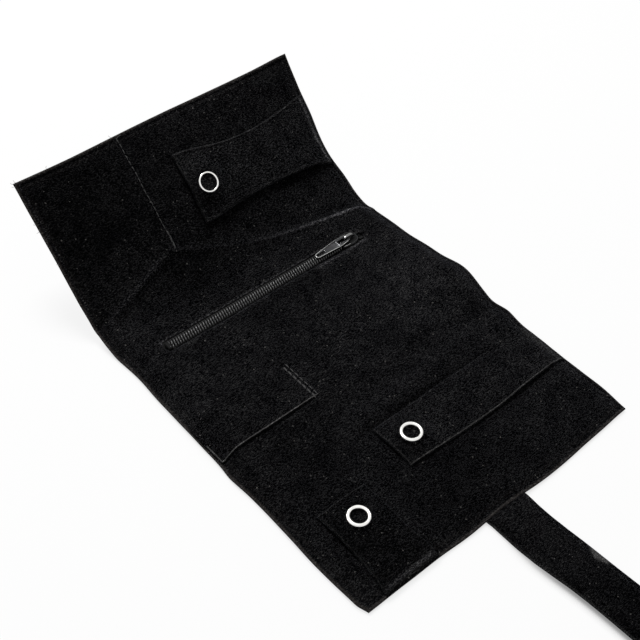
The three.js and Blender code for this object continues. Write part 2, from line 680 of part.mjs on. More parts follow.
// The flap is built flat and turned up about its fold
function flapPanel() {
  const hinge = new THREE.Group();
  hinge.position.set(0, FLAP_FOLD_Y, FLAP_AXIS_Z);
  hinge.rotation.x = radians(FLAP_REST_ANGLE);
  const group = new THREE.Group();
  group.position.set(0, -FLAP_FOLD_Y, -FLAP_AXIS_Z);
  hinge.add(group);
  const liningZ = FLAP_DROP + THIN_LINING_Z;
  const rootX = HALF_WIDTH - STRAP_ROOT_INSET;
  const strapY = FLAP_FOLD_Y + FLAP_STRAP.fromFold;
  const snap = { x: rootX - snapFromRoot(FLAP_STRAP), y: strapY };
  const outer = shell(FLAP_LOW_Y, FLAP_HIGH_Y, FLAP_DROP, liningZ - PLY_GAP, true, false);
  group.add(piece('flap_outer_shell', outer, velvet));
  const core = board(FLAP_LOW_Y, FLAP_HIGH_Y, FLAP_DROP + CORE_Z, { high: true }, [snap]);
  group.add(piece('flap_interlining', core, felt));
  group.add(piece('flap_pocket_lining', liningPly(FLAP_LOW_Y, FLAP_HIGH_Y, liningZ), velvet));
  group.add(...snapPanelSide('flap', snap.x, snap.y, MIDDLE_TOP, FLAP_DROP + CORE_Z));
  const strap = snapStrap('flap', FLAP_STRAP);
  strap.rotation.z = Math.PI;
  strap.position.set(rootX, strapY, MIDDLE_TOP);
  group.add(strap);
  return hinge;
}

function endPanel() {
  const group = new THREE.Group();
  const rootX = HALF_WIDTH - STRAP_ROOT_INSET;
  const rootY = NEAR_EDGE_Y + STRAP_ROOT_INSET;
  const sideY = END_FOLD_Y - SIDE_STRAP.fromFold;
  const endX = END_STRAP.fromSide - HALF_WIDTH;
  const sideSnap = { x: rootX - snapFromRoot(SIDE_STRAP), y: sideY };
  const endSnap = { x: endX, y: rootY + snapFromRoot(END_STRAP) };
  const outer = shell(NEAR_EDGE_Y, END_HIGH_Y, 0, THIN_LINING_Z - PLY_GAP, false, true);
  group.add(piece('end_outer_shell', outer, velvet));
  const core = board(NEAR_EDGE_Y, END_HIGH_Y, CORE_Z, { low: true }, [sideSnap, endSnap]);
  group.add(piece('end_interlining', core, felt));
  group.add(piece('end_lining', liningPly(NEAR_EDGE_Y, END_HIGH_Y, THIN_LINING_Z), velvet));
  group.add(...snapPanelSide('side', sideSnap.x, sideSnap.y, THIN_TOP, CORE_Z));
  group.add(...snapPanelSide('end', endSnap.x, endSnap.y, THIN_TOP, CORE_Z));
  const side = snapStrap('side', SIDE_STRAP);
  side.rotation.z = Math.PI;
  side.position.set(rootX, sideY, THIN_TOP);
  const end = snapStrap('end', END_STRAP);
  end.rotation.z = Math.PI / 2;
  end.position.set(endX, rootY, THIN_TOP);
  group.add(side, end);
  return group;
}

// The tie strap leaves the near edge and lies on the table, drifting a little to one side
function tieStrap() {
  const outline = strapOutline(() => TIE_LIFT, TIE_LENGTH, TIE_T);
  const tie = piece('tie_strap', strapSolid(outline, TIE_WIDTH), strapVelvet);
  tie.rotation.z = -Math.PI / 2 + radians(TIE_DRIFT_ANGLE);
  const sideways = (TIE_WIDTH / 2) * Math.sin(radians(TIE_DRIFT_ANGLE));
  tie.position.set(TIE_CENTRE_X, NEAR_EDGE_Y - TIE_T / 2 - TIE_GAP - sideways, 0);
  return tie;
}

const roll = new THREE.Group();
roll.add(middlePanel(), folds(), flapPanel(), endPanel(), tieStrap());

export default roll;
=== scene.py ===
"""Velvet jewelry roll laid open with its flap lifted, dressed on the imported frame.

Lengths are in millimetres up to put_mesh, which turns them into metres. A place on the roll is given by x
across it and t along its cloth: t runs from the near edge over the end fold, the zip and the flap fold to
the flap's tip.
"""

import logging
import math
from dataclasses import dataclass, field
from enum import Enum

import bmesh
import bpy
import numpy as np
from mathutils import Matrix, Vector


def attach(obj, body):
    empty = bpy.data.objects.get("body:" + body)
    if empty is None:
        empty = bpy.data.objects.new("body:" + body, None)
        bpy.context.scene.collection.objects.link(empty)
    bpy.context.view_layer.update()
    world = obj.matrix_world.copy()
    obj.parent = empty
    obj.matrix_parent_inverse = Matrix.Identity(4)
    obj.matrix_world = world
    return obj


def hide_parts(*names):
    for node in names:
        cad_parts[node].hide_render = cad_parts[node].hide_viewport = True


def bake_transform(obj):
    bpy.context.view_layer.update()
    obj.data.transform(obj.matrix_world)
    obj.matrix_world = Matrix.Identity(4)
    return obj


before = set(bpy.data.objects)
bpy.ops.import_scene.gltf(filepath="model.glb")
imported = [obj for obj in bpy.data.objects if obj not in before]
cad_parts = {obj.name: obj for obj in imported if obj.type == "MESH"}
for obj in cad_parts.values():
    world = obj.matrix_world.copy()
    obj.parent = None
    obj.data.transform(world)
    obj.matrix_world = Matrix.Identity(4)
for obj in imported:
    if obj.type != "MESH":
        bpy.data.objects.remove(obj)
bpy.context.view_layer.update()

LOG = logging.getLogger("jewelry_roll")
MM = 0.001
UP = np.array([0.0, 0.0, 1.0])
FLAP_UP = np.array([0.0, -0.6587, 0.7524])
GOLDEN_ANGLE = 2.39996
Array = np.ndarray
Material = bpy.types.Material
Node = bpy.types.Node
NodeSocket = bpy.types.NodeSocket
NodeTree = bpy.types.NodeTree
Piece = bpy.types.Object
Pair = tuple[float, float]
Triple = tuple[float, float, float]
Colour = tuple[float, float, float]
Line = tuple[tuple[float, float], ...]
Rows = tuple[tuple[float, float, float], ...]
Patches = tuple[tuple[float, float, float, float, float], ...]
Faces = list[list[int]]


class Body(Enum):
    """The frame's bodies that pieces ride on."""

    MIDDLE = "middle_panel"
    FLAP = "flap_panel"
    END = "end_panel"
    FLAP_STRAP = "flap_strap_leaf"
    SIDE_STRAP = "side_strap_leaf"
    END_STRAP = "end_strap_leaf"
    SLIDER = "zip_slider_body"
    PULL = "zip_pull"
    TIE = "tie"


class StrapRun(Enum):
    """The way a snap strap runs over its panel, inwards from the right edge or from the near edge."""

    FROM_RIGHT = "from_right"
    FROM_NEAR = "from_near"


class Kind(Enum):
    """The kinds of value that the node groups take in and put out."""

    VECTOR = "NodeSocketVector"
    COLOUR = "NodeSocketColor"
    NUMBER = "NodeSocketFloat"


def ease(value: Array) -> Array:
    """Smooth step: 0 below 0, 1 above 1 and 3v^2 - 2v^3 between."""
    v = np.clip(value, 0.0, 1.0)
    return v * v * (3.0 - 2.0 * v)


def rise(value: Array, start: float, length: Array | float) -> Array:
    """Smooth step from 0 at the start to 1 a length on, towards lower values where it is negative."""
    return ease((value - start) / length)


def hump(value: Array, centre: Array | float, spread: Array | float) -> Array:
    """Bell of height 1 at the centre, exp(-((v - centre) / spread)^2)."""
    return np.exp(-(((value - centre) / spread) ** 2))


def rises(value: Array, rows: Rows) -> Array:
    """Sum of smooth steps, each with a height, a start and a length."""
    return sum(height * rise(value, start, length) for height, start, length in rows)


def humps(value: Array, rows: Rows) -> Array:
    """Sum of bells, each with a height, a centre and a spread."""
    return sum(height * hump(value, centre, spread) for height, centre, spread in rows)


def patches(x: Array, t: Array, rows: Patches) -> Array:
    """Sum of oval bells, each with a height, a centre and spread in x, and a centre and spread in t."""
    return sum(height * hump(x, at_x, wide) * hump(t, at_t, long) for height, at_x, wide, at_t, long in rows)


def follow(place: Array, line: Line) -> Array:
    """Reads a broken line that is given as pairs of place and value."""
    at, value = zip(*line)
    return np.interp(place, at, value)


def either(across: Array, pair: Pair) -> Array:
    """The pair's first value where across is negative, and its second elsewhere."""
    return np.where(across < 0.0, pair[0], pair[1])


def rounded_off(inset: Array, thickness: float) -> Array:
    """Thickness beside an edge: T sqrt(1 - (1 - 2 inset / T)^2) over half of the thickness T, then T."""
    turn = 1.0 - np.clip(2.0 * inset / thickness, 0.0, 1.0)
    return thickness * np.sqrt(np.maximum(1.0 - turn * turn, 0.0))


def mirrored(places: Array) -> Array:
    """Places from an edge to the middle, followed by their mirror image up to the other edge."""
    return np.concatenate([places, 2.0 * places[-1] - places[-2::-1]])


def ripple(a: Array, b: Array, pitch: float, seed: float) -> Array:
    """Uneven waves over a plane.

    The mean of six sine waves whose directions turn by the golden angle and whose pitches shorten in
    steps, so that no repeat shows.

    Args:
        a: first coordinate in mm.
        b: second coordinate in mm.
        pitch: length of the longest wave in mm.
        seed: phase that makes one field differ from another.

    Returns:
        Heights from -1 to 1, mostly within 0.6.
    """
    waves, shortening, phase = 6, 0.37, 5.1
    total = np.zeros(np.broadcast(a, b).shape)
    for wave in range(waves):
        turn = GOLDEN_ANGLE * (wave + seed)
        length = pitch / (1.0 + shortening * wave)
        along = a * math.cos(turn) + b * math.sin(turn)
        total = total + np.sin(2.0 * math.pi * along / length + phase * wave + seed)
    return total / waves


def steps(*stops: tuple[float, float]) -> Array:
    """Rows of a grid: from each stop's place to the next one's, at about the spacing the stop gives.

    Args:
        stops: pairs of place and spacing in mm, in rising order of place.

    Returns:
        Places from the first stop to the last, both included.
    """
    parts = []
    for (start, spacing), (end, _) in zip(stops[:-1], stops[1:]):
        count = max(1, round((end - start) / spacing))
        parts.append(np.linspace(start, end, count, endpoint=False))
    return np.concatenate([*parts, [stops[-1][0]]])


def grid_quads(index: Array) -> Array:
    """Quads of a grid of vertex numbers, wound so that columns cross rows gives the face's side."""
    corners = (index[:-1, :-1], index[:-1, 1:], index[1:, 1:], index[1:, :-1])
    return np.stack(corners, axis=-1).reshape(-1, 4)


def put_mesh(
    name: str,
    points: Array,
    faces: Faces,
    finish: Material,
    sharp: float = 50.0,
    **marks: Array,
) -> Piece:
    """Makes one piece from points in millimetres.

    Args:
        name: the piece's name.
        points: array of n points.
        faces: vertex numbers of each face, outwards.
        finish: the piece's material.
        sharp: edges that turn by more than this many degrees stay sharp.
        marks: values at the points, kept as attributes that the finish reads.

    Returns:
        The object, linked to the scene at the origin.
    """
    mesh = bpy.data.meshes.new(name)
    mesh.from_pydata((points.reshape(-1, 3) * MM).tolist(), [], faces)
    mesh.polygons.foreach_set("use_smooth", np.ones(len(mesh.polygons), dtype=bool))
    mesh.set_sharp_from_angle(angle=math.radians(sharp))
    for key, values in marks.items():
        layer = mesh.attributes.new(key, "FLOAT", "POINT")
        layer.data.foreach_set("value", values.astype(np.float32).ravel())
    mesh.materials.append(finish)
    piece = bpy.data.objects.new(name, mesh)
    bpy.context.scene.collection.objects.link(piece)
    LOG.info("%s: %d points, %d faces", name, len(mesh.vertices), len(mesh.polygons))
    return piece


@dataclass
class Skin:
    """A closed cloth: an upper and an under grid that meet along their rim."""

    points: Array
    faces: Faces
    kept: Array

    @classmethod
    def sewn(
        cls, upper: Array, under: Array, cut: int | None = None, wall: list[Array] | None = None
    ) -> "Skin":
        """Joins two grids of the same size along their rim, or closes one row with a wall.

        The under grid shares the upper one's rim points. Where a row is cut, its inner points are the
        under grid's own, and strips over the wall's rows close the opening.

        Args:
            upper: rows x columns x 3, columns crossing rows outwards.
            under: grid of the same shape below it.
            cut: 0 or -1 for the row that is left open, or None.
            wall: rows of points from the upper to the under grid at the cut.

        Returns:
            The skin, with the number in the two stacked grids that each point came from.
        """
        rows, columns = upper.shape[:2]
        top = np.arange(rows * columns).reshape(rows, columns)
        inner = np.zeros((rows, columns), dtype=bool)
        inner[1:-1, 1:-1] = True
        if cut is not None:
            inner[cut, 1:-1] = True
        low = top.copy()
        low[inner] = rows * columns + np.arange(int(inner.sum()))
        points = [upper.reshape(-1, 3), under[inner]]
        kept = np.concatenate([top.ravel(), top[inner]])
        faces = grid_quads(top).tolist() + grid_quads(low)[:, ::-1].tolist()
        if cut is not None:
            first = rows * columns + int(inner.sum())
            chain = [top[cut]]
            for row in wall or []:
                line = top[cut].copy()
                line[1:-1] = first + np.arange(columns - 2)
                first += columns - 2
                points.append(row[1:-1])
                kept = np.concatenate([kept, top[cut, 1:-1]])
                chain.append(line)
            chain.append(low[cut])
            for above, below in zip(chain[:-1], chain[1:]):
                strip = np.stack([above[1:-2], below[1:-2], below[2:-1], above[2:-1]], axis=-1)
                ends = np.array([[above[0], below[1], above[1]], [above[-2], below[-2], above[-1]]])
                turned = -1 if cut == -1 else 1
                faces += strip[:, ::turned].tolist() + ends[:, ::turned].tolist()
        return cls(np.concatenate(points), faces, kept)

    def piece(self, name: str, finish: Material, **marks: Array) -> Piece:
        """Makes the cloth's piece.

        Args:
            name: the piece's name.
            finish: its material.
            marks: values on the upper grid, which the under grid shares.

        Returns:
            The piece.
        """
        spread = {key: values.ravel()[self.kept] for key, values in marks.items()}
        return put_mesh(name, self.points, self.faces, finish, **spread)


def tubes(paths: Array, radius: Array, sides: int, up: Array) -> tuple[Array, Faces]:
    """Round threads along paths.

    At each point of a path a circle stands across its direction: point + r (side cos a + over sin a), where
    side crosses the direction with the up vector. Flat caps close both ends.

    Args:
        paths: threads x points x 3.
        radius: radius at each point of a path.
        sides: corners of the circle.
        up: direction that is never along a path.

    Returns:
        Points and faces of all the threads together.
    """
    count, length = paths.shape[:2]
    along = np.gradient(paths, axis=1)
    along /= np.linalg.norm(along, axis=2, keepdims=True)
    side = np.cross(along, np.broadcast_to(up, along.shape))
    side /= np.linalg.norm(side, axis=2, keepdims=True)
    over = np.cross(side, along)
    angle = np.linspace(0.0, 2.0 * math.pi, sides, endpoint=False)
    ring = side[:, :, None] * np.cos(angle)[:, None] + over[:, :, None] * np.sin(angle)[:, None]
    points = paths[:, :, None] + ring * np.asarray(radius).reshape(1, -1, 1, 1)
    index = np.arange(count * length * sides).reshape(count, length, sides)
    wrapped = np.concatenate([index, index[:, :, :1]], axis=2)
    corners = (wrapped[:, :-1, :-1], wrapped[:, 1:, :-1], wrapped[:, 1:, 1:], wrapped[:, :-1, 1:])
    faces = np.stack(corners, axis=-1).reshape(-1, 4)[:, ::-1].tolist()
    faces += index[:, 0, ::-1].tolist() + index[:, -1].tolist()
    return points.reshape(-1, 3), faces


def put_threads(
    name: str, paths: Array, radius: tuple[float, ...], up: Array, finish: Material, sides: int = 6
) -> Piece:
    """Makes a piece of round threads.

    Args:
        name: the piece's name.
        paths: threads x points x 3.
        radius: radius at each point of a path.
        up: direction that is never along a path.
        finish: the thread's material.
        sides: corners of a thread's section.

    Returns:
        The piece.
    """
    points, faces = tubes(paths, np.array(radius), sides, up)
    return put_mesh(name, points, faces, finish)


@dataclass
class Graph:
    """A node tree being filled, with short calls for the nodes that the finishes use."""

    tree: NodeTree

    def node(self, kind: str, inputs: dict | None = None, **settings: object) -> Node:
        """Adds a node, sets its properties and links or sets its inputs.

        Args:
            kind: the node's type name.
            inputs: sockets to link or values to set, by socket name.
            settings: properties of the node.

        Returns:
            The node.
        """
        made = self.tree.nodes.new(kind)
        for key, value in settings.items():
            setattr(made, key, value)
        self.fill(made, inputs or {})
        return made

    def fill(self, made: Node, inputs: dict) -> None:
        """Links or sets a node's inputs by socket name."""
        for key, value in inputs.items():
            self.feed(made.inputs[key], value)

    def feed(self, socket: NodeSocket, value: object) -> None:
        """Links a socket to the input, or sets the input's own value."""
        if isinstance(value, NodeSocket):
            self.tree.links.new(value, socket)
        else:
            socket.default_value = value

    def place(self) -> NodeSocket:
        """The piece's own coordinates, in metres."""
        return self.node("ShaderNodeTexCoord").outputs["Object"]

    def mark(self, name: str) -> NodeSocket:
        """A value that the piece keeps at its points."""
        return self.node("ShaderNodeAttribute", attribute_name=name).outputs["Fac"]

    def math(self, operation: str, *values: object) -> NodeSocket:
        """A Math node on the given values, and its result."""
        made = self.node("ShaderNodeMath", operation=operation)
        for socket, value in zip(made.inputs, values):
            self.feed(socket, value)
        return made.outputs[0]

    def weigh(self, first: object, second: object, share: float) -> NodeSocket:
        """The first value's share and the rest of the second."""
        return self.math("MULTIPLY_ADD", first, share, self.math("MULTIPLY", second, 1.0 - share))

    def spread(self, value: object, given: Pair, wanted: Pair = (0.0, 1.0)) -> NodeSocket:
        """A smooth Map Range node from the given range to the wanted one."""
        made = self.node("ShaderNodeMapRange", {"Value": value}, interpolation_type="SMOOTHSTEP")
        for key, limit in zip(("From Min", "From Max", "To Min", "To Max"), (*given, *wanted)):
            self.feed(made.inputs[key], limit)
        return made.outputs["Result"]

    def scaled(self, vector: object, scale: object) -> NodeSocket:
        """A vector times a number."""
        made = self.node("ShaderNodeVectorMath", {"Vector": vector, "Scale": scale}, operation="SCALE")
        return made.outputs["Vector"]

    def blend(self, share: object, first: object, second: object) -> NodeSocket:
        """A Mix node of two colours."""
        made = self.node("ShaderNodeMix", data_type="RGBA")
        for place, given in ((0, share), (6, first), (7, second)):
            self.feed(made.inputs[place], given)
        return made.outputs[2]

    def noise(self, vector: object, scale: float, detail: float) -> NodeSocket:
        """A Noise Texture's value at a scale per millimetre."""
        made = self.node("ShaderNodeTexNoise", {"Vector": vector, "Scale": scale, "Detail": detail})
        return made.outputs[0]

    def relief(self, height: object, strength: float, depth: float) -> NodeSocket:
        """A Bump node's normal, for a depth in mm."""
        made = self.node("ShaderNodeBump", {"Strength": strength, "Distance": depth * MM, "Height": height})
        return made.outputs["Normal"]


def rgba(colour: Colour) -> tuple[float, float, float, float]:
    """A colour with full alpha."""
    return (*colour, 1.0)


def grey(value: float) -> Colour:
    """A neutral colour."""
    return (value, value, value)


def new_group(name: str, inputs: dict[str, Kind], outputs: dict[str, Kind]) -> tuple[Graph, Node, Node]:
    """Starts a shader node group.

    Args:
        name: the group's name.
        inputs: kinds of value by input name.
        outputs: kinds of value by output name.

    Returns:
        Its graph, its input node and its output node.
    """
    tree = bpy.data.node_groups.new(name, "ShaderNodeTree")
    for way, sockets in (("INPUT", inputs), ("OUTPUT", outputs)):
        for key, kind in sockets.items():
            tree.interface.new_socket(name=key, in_out=way, socket_type=kind.value)
    graph = Graph(tree)
    return graph, graph.node("NodeGroupInput"), graph.node("NodeGroupOutput")


def new_finish(name: str) -> tuple[Material, Graph, Node]:
    """Starts a material.

    Args:
        name: the material's name.

    Returns:
        The material, its graph and its Principled shader.
    """
    made = bpy.data.materials.new(name)
    made.use_nodes = True
    return made, Graph(made.node_tree), made.node_tree.nodes["Principled BSDF"]


@dataclass(frozen=True)
class Pile:
    """Velvet pile: clumped tufts, brushed patches, hairs and lint.

    A noise is given by its scale per millimetre and its detail, a range by its two ends.
    """

    tufts: Pair = (0.95, 4.0)
    brushed: Pair = (0.13, 3.0)
    tuft_share: float = 0.7
    tone: Pair = (0.38, 0.64)
    hair_lays: Line = ((0.3, 0.0), (1.35, 40.0), (2.4, 90.0))
    hair_stretch: Triple = (0.75, 2.6, 1.6)
    hair: Pair = (1.25, 1.5)
    hair_seen: Pair = (0.57, 0.72)
    hair_patches: Pair = (0.35, 0.65)
    hair_share: Pair = (0.55, 1.0)
    lint_wander: Pair = (0.7, 1.0)
    lint_cells: float = 0.5
    lint_chosen: Pair = (0.45, 1.0)
    lint_radius: Pair = (0.0, 0.15)
    lint: Colour = (0.12, 0.115, 0.11)
    relief_share: float = 0.6

    def group(self) -> NodeTree:
        """Builds the pile's node group.

        A noise at about 1 mm gives the tufts and one at about 8 mm the patches that were brushed another
        way. Three noises, each drawn out in another direction, give short paler hairs, and a cell pattern
        gives specks of lint in some of its cells. The nap and painted-light input brightens or darkens the
        pile
        by its share: it carries the pile's nap together with painted highlights and painted shade.

        Returns:
            The group, which puts out Color and Height.
        """
        graph, given, result = new_group(
            "velvet_pile",
            {
                "Vector": Kind.VECTOR, "Deep": Kind.COLOUR, "Lit": Kind.COLOUR,
                "Hair": Kind.COLOUR, "Lint": Kind.NUMBER, "Nap_And_Painted_Light": Kind.NUMBER,
            },
            {"Color": Kind.COLOUR, "Height": Kind.NUMBER},
        )
        place = graph.scaled(given.outputs["Vector"], 1.0 / MM)
        tufts = graph.noise(place, *self.tufts)
        brushed = graph.noise(place, *self.brushed)
        hairs = None
        for turn, start in self.hair_lays:
            laid = graph.node("ShaderNodeMapping", {"Vector": place, "Scale": self.hair_stretch})
            graph.fill(laid, {"Location": (start, start, 0.0), "Rotation": (0.0, 0.0, turn)})
            hair = graph.spread(graph.noise(laid.outputs["Vector"], *self.hair), self.hair_seen)
            hairs = hair if hairs is None else graph.math("MAXIMUM", hairs, hair)
        tone = graph.spread(graph.weigh(tufts, brushed, self.tuft_share), self.tone)
        colour = graph.blend(tone, given.outputs["Deep"], given.outputs["Lit"])
        shown = graph.math("MULTIPLY", hairs, graph.spread(brushed, self.hair_patches, self.hair_share))
        colour = graph.blend(shown, colour, given.outputs["Hair"])
        # Painted light: the nap mark scales the colour, with painted highlights and painted shade in it.
        colour = graph.scaled(colour, graph.math("ADD", 1.0, given.outputs["Nap_And_Painted_Light"]))
        scale, detail = self.lint_wander
        wander = graph.node("ShaderNodeTexNoise", {"Vector": place, "Scale": scale, "Detail": detail})
        moved = graph.node("ShaderNodeVectorMath", {0: place, 1: wander.outputs["Color"]}, operation="ADD")
        cells = graph.node("ShaderNodeTexVoronoi", {"Vector": moved.outputs[0], "Scale": self.lint_cells})
        chosen = graph.node("ShaderNodeSeparateColor", {"Color": cells.outputs["Color"]}).outputs[0]
        radius = graph.spread(chosen, self.lint_chosen, self.lint_radius)
        speck = graph.math("LESS_THAN", cells.outputs["Distance"], radius)
        share = graph.math("MULTIPLY", speck, given.outputs["Lint"])
        graph.feed(result.inputs["Color"], graph.blend(share, colour, rgba(self.lint)))
        graph.feed(result.inputs["Height"], graph.weigh(tufts, hairs, self.relief_share))
        return graph.tree


@dataclass(frozen=True)
class HandlingMarks:
    """Handling marks on metal: broad smears and a fine grit, as noises of a scale and a detail."""

    smears: Pair = (0.5, 3.0)
    grit: Pair = (6.0, 2.0)
    smear_share: float = 0.7
    tone: Pair = (0.35, 0.65)

    def group(self) -> NodeTree:
        """Builds the marks' node group.

        Returns:
            The group, which puts out Roughness and Height.
        """
        graph, given, result = new_group(
            "handling_marks",
            {"Vector": Kind.VECTOR, "Smooth": Kind.NUMBER, "Dull": Kind.NUMBER},
            {"Roughness": Kind.NUMBER, "Height": Kind.NUMBER},
        )
        place = graph.scaled(given.outputs["Vector"], 1.0 / MM)
        grit = graph.noise(place, *self.grit)
        tone = graph.weigh(graph.noise(place, *self.smears), grit, self.smear_share)
        made = graph.node("ShaderNodeMapRange", {"Value": tone})
        graph.fill(made, {"From Min": self.tone[0], "From Max": self.tone[1]})
        graph.fill(made, {"To Min": given.outputs["Smooth"], "To Max": given.outputs["Dull"]})
        graph.feed(result.inputs["Roughness"], made.outputs["Result"])
        graph.feed(result.inputs["Height"], grit)
        return graph.tree


@dataclass(frozen=True)
class Weave:
    """Close woven tape: two crossed sine bands and yarns of uneven tone."""

    yarns: Pair = (0.2, 2.0)
    crossed_share: float = 0.6

    def group(self) -> NodeTree:
        """Builds the weave's node group.

        Returns:
            The group, which puts out Color and Height.
        """
        graph, given, result = new_group(
            "tape_weave",
            {"Vector": Kind.VECTOR, "Deep": Kind.COLOUR, "Lit": Kind.COLOUR, "Pitch": Kind.NUMBER},
            {"Color": Kind.COLOUR, "Height": Kind.NUMBER},
        )
        turn = graph.math("DIVIDE", 2.0 * math.pi / MM, given.outputs["Pitch"])
        place = graph.scaled(given.outputs["Vector"], turn)
        parts = graph.node("ShaderNodeSeparateXYZ", {"Vector": place})
        warp = graph.math("SINE", parts.outputs[0])
        weft = graph.math("SINE", parts.outputs[1])
        crossed = graph.math("MULTIPLY_ADD", graph.math("MULTIPLY", warp, weft), 0.5, 0.5)
        tone = graph.weigh(crossed, graph.noise(place, *self.yarns), self.crossed_share)
        graph.feed(result.inputs["Color"], graph.blend(tone, given.outputs["Deep"], given.outputs["Lit"]))
        graph.feed(result.inputs["Height"], crossed)
        return graph.tree


@dataclass(frozen=True)
class Velvet:
    """Black velvet: mottled pile, rims paled by wear and by a painted edge highlight, and a soft sheen.
    A relief is a strength and a depth.
    """

    name: str
    deep: Colour = (0.0001, 0.0001, 0.0003)
    lit: Colour = (0.0042, 0.0041, 0.0046)
    hair: Colour = (0.0330, 0.0325, 0.0330)
    # Colour of the paler rims: partly worn pile, partly a painted edge highlight.
    rim: Colour = (0.105, 0.094, 0.087)
    rim_tufts: Pair = (0.38, 0.60)
    rim_share: Pair = (0.25, 1.0)
    lint: float = 0.75
    relief: Pair = (0.9, 0.5)
    roughness: float = 0.95
    sheen: float = 0.125
    sheen_roughness: float = 0.28
    sheen_tint: Colour = (0.85, 0.88, 1.0)

    def material(self, pile: NodeTree) -> Material:
        """Builds the material from the pile group, the piece's rim mark and its mark of nap and painted
        light.

        Args:
            pile: the velvet pile group.

        Returns:
            The material.
        """
        made, graph, shader = new_finish(self.name)
        tufts = graph.node("ShaderNodeGroup", node_tree=pile)
        # Painted light: the nap mark holds painted highlights and shade, the rim mark edge highlight and
        # wear.
        graph.fill(tufts, {
            "Vector": graph.place(),
            "Deep": rgba(self.deep),
            "Lit": rgba(self.lit),
            "Hair": rgba(self.hair),
            "Lint": self.lint,
            "Nap_And_Painted_Light": graph.mark("nap"),
        })
        height = tufts.outputs["Height"]
        tufted = graph.spread(height, self.rim_tufts, self.rim_share)
        worn = graph.math("MULTIPLY", graph.mark("rim"), tufted)
        graph.fill(shader, {
            "Base Color": graph.blend(worn, tufts.outputs["Color"], rgba(self.rim)),
            "Normal": graph.relief(height, *self.relief),
            "Roughness": self.roughness,
            "Specular IOR Level": 0.0,
            "Sheen Weight": self.sheen,
            "Sheen Roughness": self.sheen_roughness,
            "Sheen Tint": rgba(self.sheen_tint),
        })
        return made


@dataclass(frozen=True)
class Metal:
    """Plated metal with handling marks."""

    name: str
    colour: Colour
    smooth: float
    dull: float
    relief: Pair = (0.05, 0.1)

    def material(self, wear: NodeTree) -> Material:
        """Builds the material from the handling-marks group.

        Args:
            wear: the group.

        Returns:
            The material.
        """
        made, graph, shader = new_finish(self.name)
        marks = graph.node("ShaderNodeGroup", node_tree=wear)
        graph.fill(marks, {"Vector": graph.place(), "Smooth": self.smooth, "Dull": self.dull})
        graph.fill(shader, {
            "Base Color": rgba(self.colour),
            "Metallic": 1.0,
            "Roughness": marks.outputs["Roughness"],
            "Normal": graph.relief(marks.outputs["Height"], *self.relief),
        })
        return made


@dataclass(frozen=True)
class Woven:
    """Woven, spun or coated stuff: zip tape, coil, enamel, sewing thread."""

    name: str
    deep: Colour
    lit: Colour
    pitch: float
    roughness: float
    specular: float
    relief: Pair = (0.5, 0.15)

    def material(self, weave: NodeTree) -> Material:
        """Builds the material from the weave group.

        Args:
            weave: the group.

        Returns:
            The material.
        """
        made, graph, shader = new_finish(self.name)
        cloth = graph.node("ShaderNodeGroup", node_tree=weave)
        colours = {"Deep": rgba(self.deep), "Lit": rgba(self.lit)}
        graph.fill(cloth, {"Vector": graph.place(), "Pitch": self.pitch, **colours})
        graph.fill(shader, {
            "Base Color": cloth.outputs["Color"],
            "Normal": graph.relief(cloth.outputs["Height"], *self.relief),
            "Roughness": self.roughness,
            "Specular IOR Level": self.specular,
        })
        return made


@dataclass(frozen=True)
class Wardrobe:
    """All the finishes of the roll."""

    cloth: Material
    strap: Material
    nickel: Material
    gunmetal: Material
    worn_edge: Material
    bridge: Material
    enamel: Material
    tape: Material
    coil: Material
    thread: Material

    @classmethod
    def made(cls) -> "Wardrobe":
        """Builds the node groups, and the materials that share them.

        Returns:
            The finishes.
        """
        pile, wear, weave = Pile().group(), HandlingMarks().group(), Weave().group()
        # The straps' pale rim colour is partly frayed cut edge and partly a painted edge highlight.
        strap = Velvet("strap_velvet", lit=(0.0038, 0.0037, 0.0041), rim=(0.30, 0.295, 0.29))
        thread = Woven("sewing_thread", (0.030, 0.030, 0.031), (0.090, 0.088, 0.088), 0.3, 0.5, 0.5)
        return cls(
            cloth=Velvet("roll_velvet").material(pile),
            strap=strap.material(pile),
            nickel=Metal("nickel_plate", (0.80, 0.79, 0.77), 0.12, 0.24).material(wear),
            gunmetal=Metal("gunmetal_plate", (0.050, 0.050, 0.052), 0.10, 0.19).material(wear),
            # Painted highlights: paler gunmetal on pull edges and beads, partly wear, and on the slider's
            # bridge.
            worn_edge=Metal("gunmetal_worn_edge", (0.38, 0.38, 0.37), 0.18, 0.32).material(wear),
            bridge=Metal("gunmetal_bridge", (0.17, 0.17, 0.168), 0.16, 0.30).material(wear),
            enamel=Woven("black_enamel", grey(0.003), grey(0.008), 0.9, 0.7, 0.08).material(weave),
            tape=Woven("zip_tape_weave", grey(0.002), grey(0.006), 0.7, 0.8, 0.1).material(weave),
            coil=Woven("coil_nylon", grey(0.016), grey(0.030), 0.5, 0.28, 1.0).material(weave),
            thread=thread.material(weave),
        )


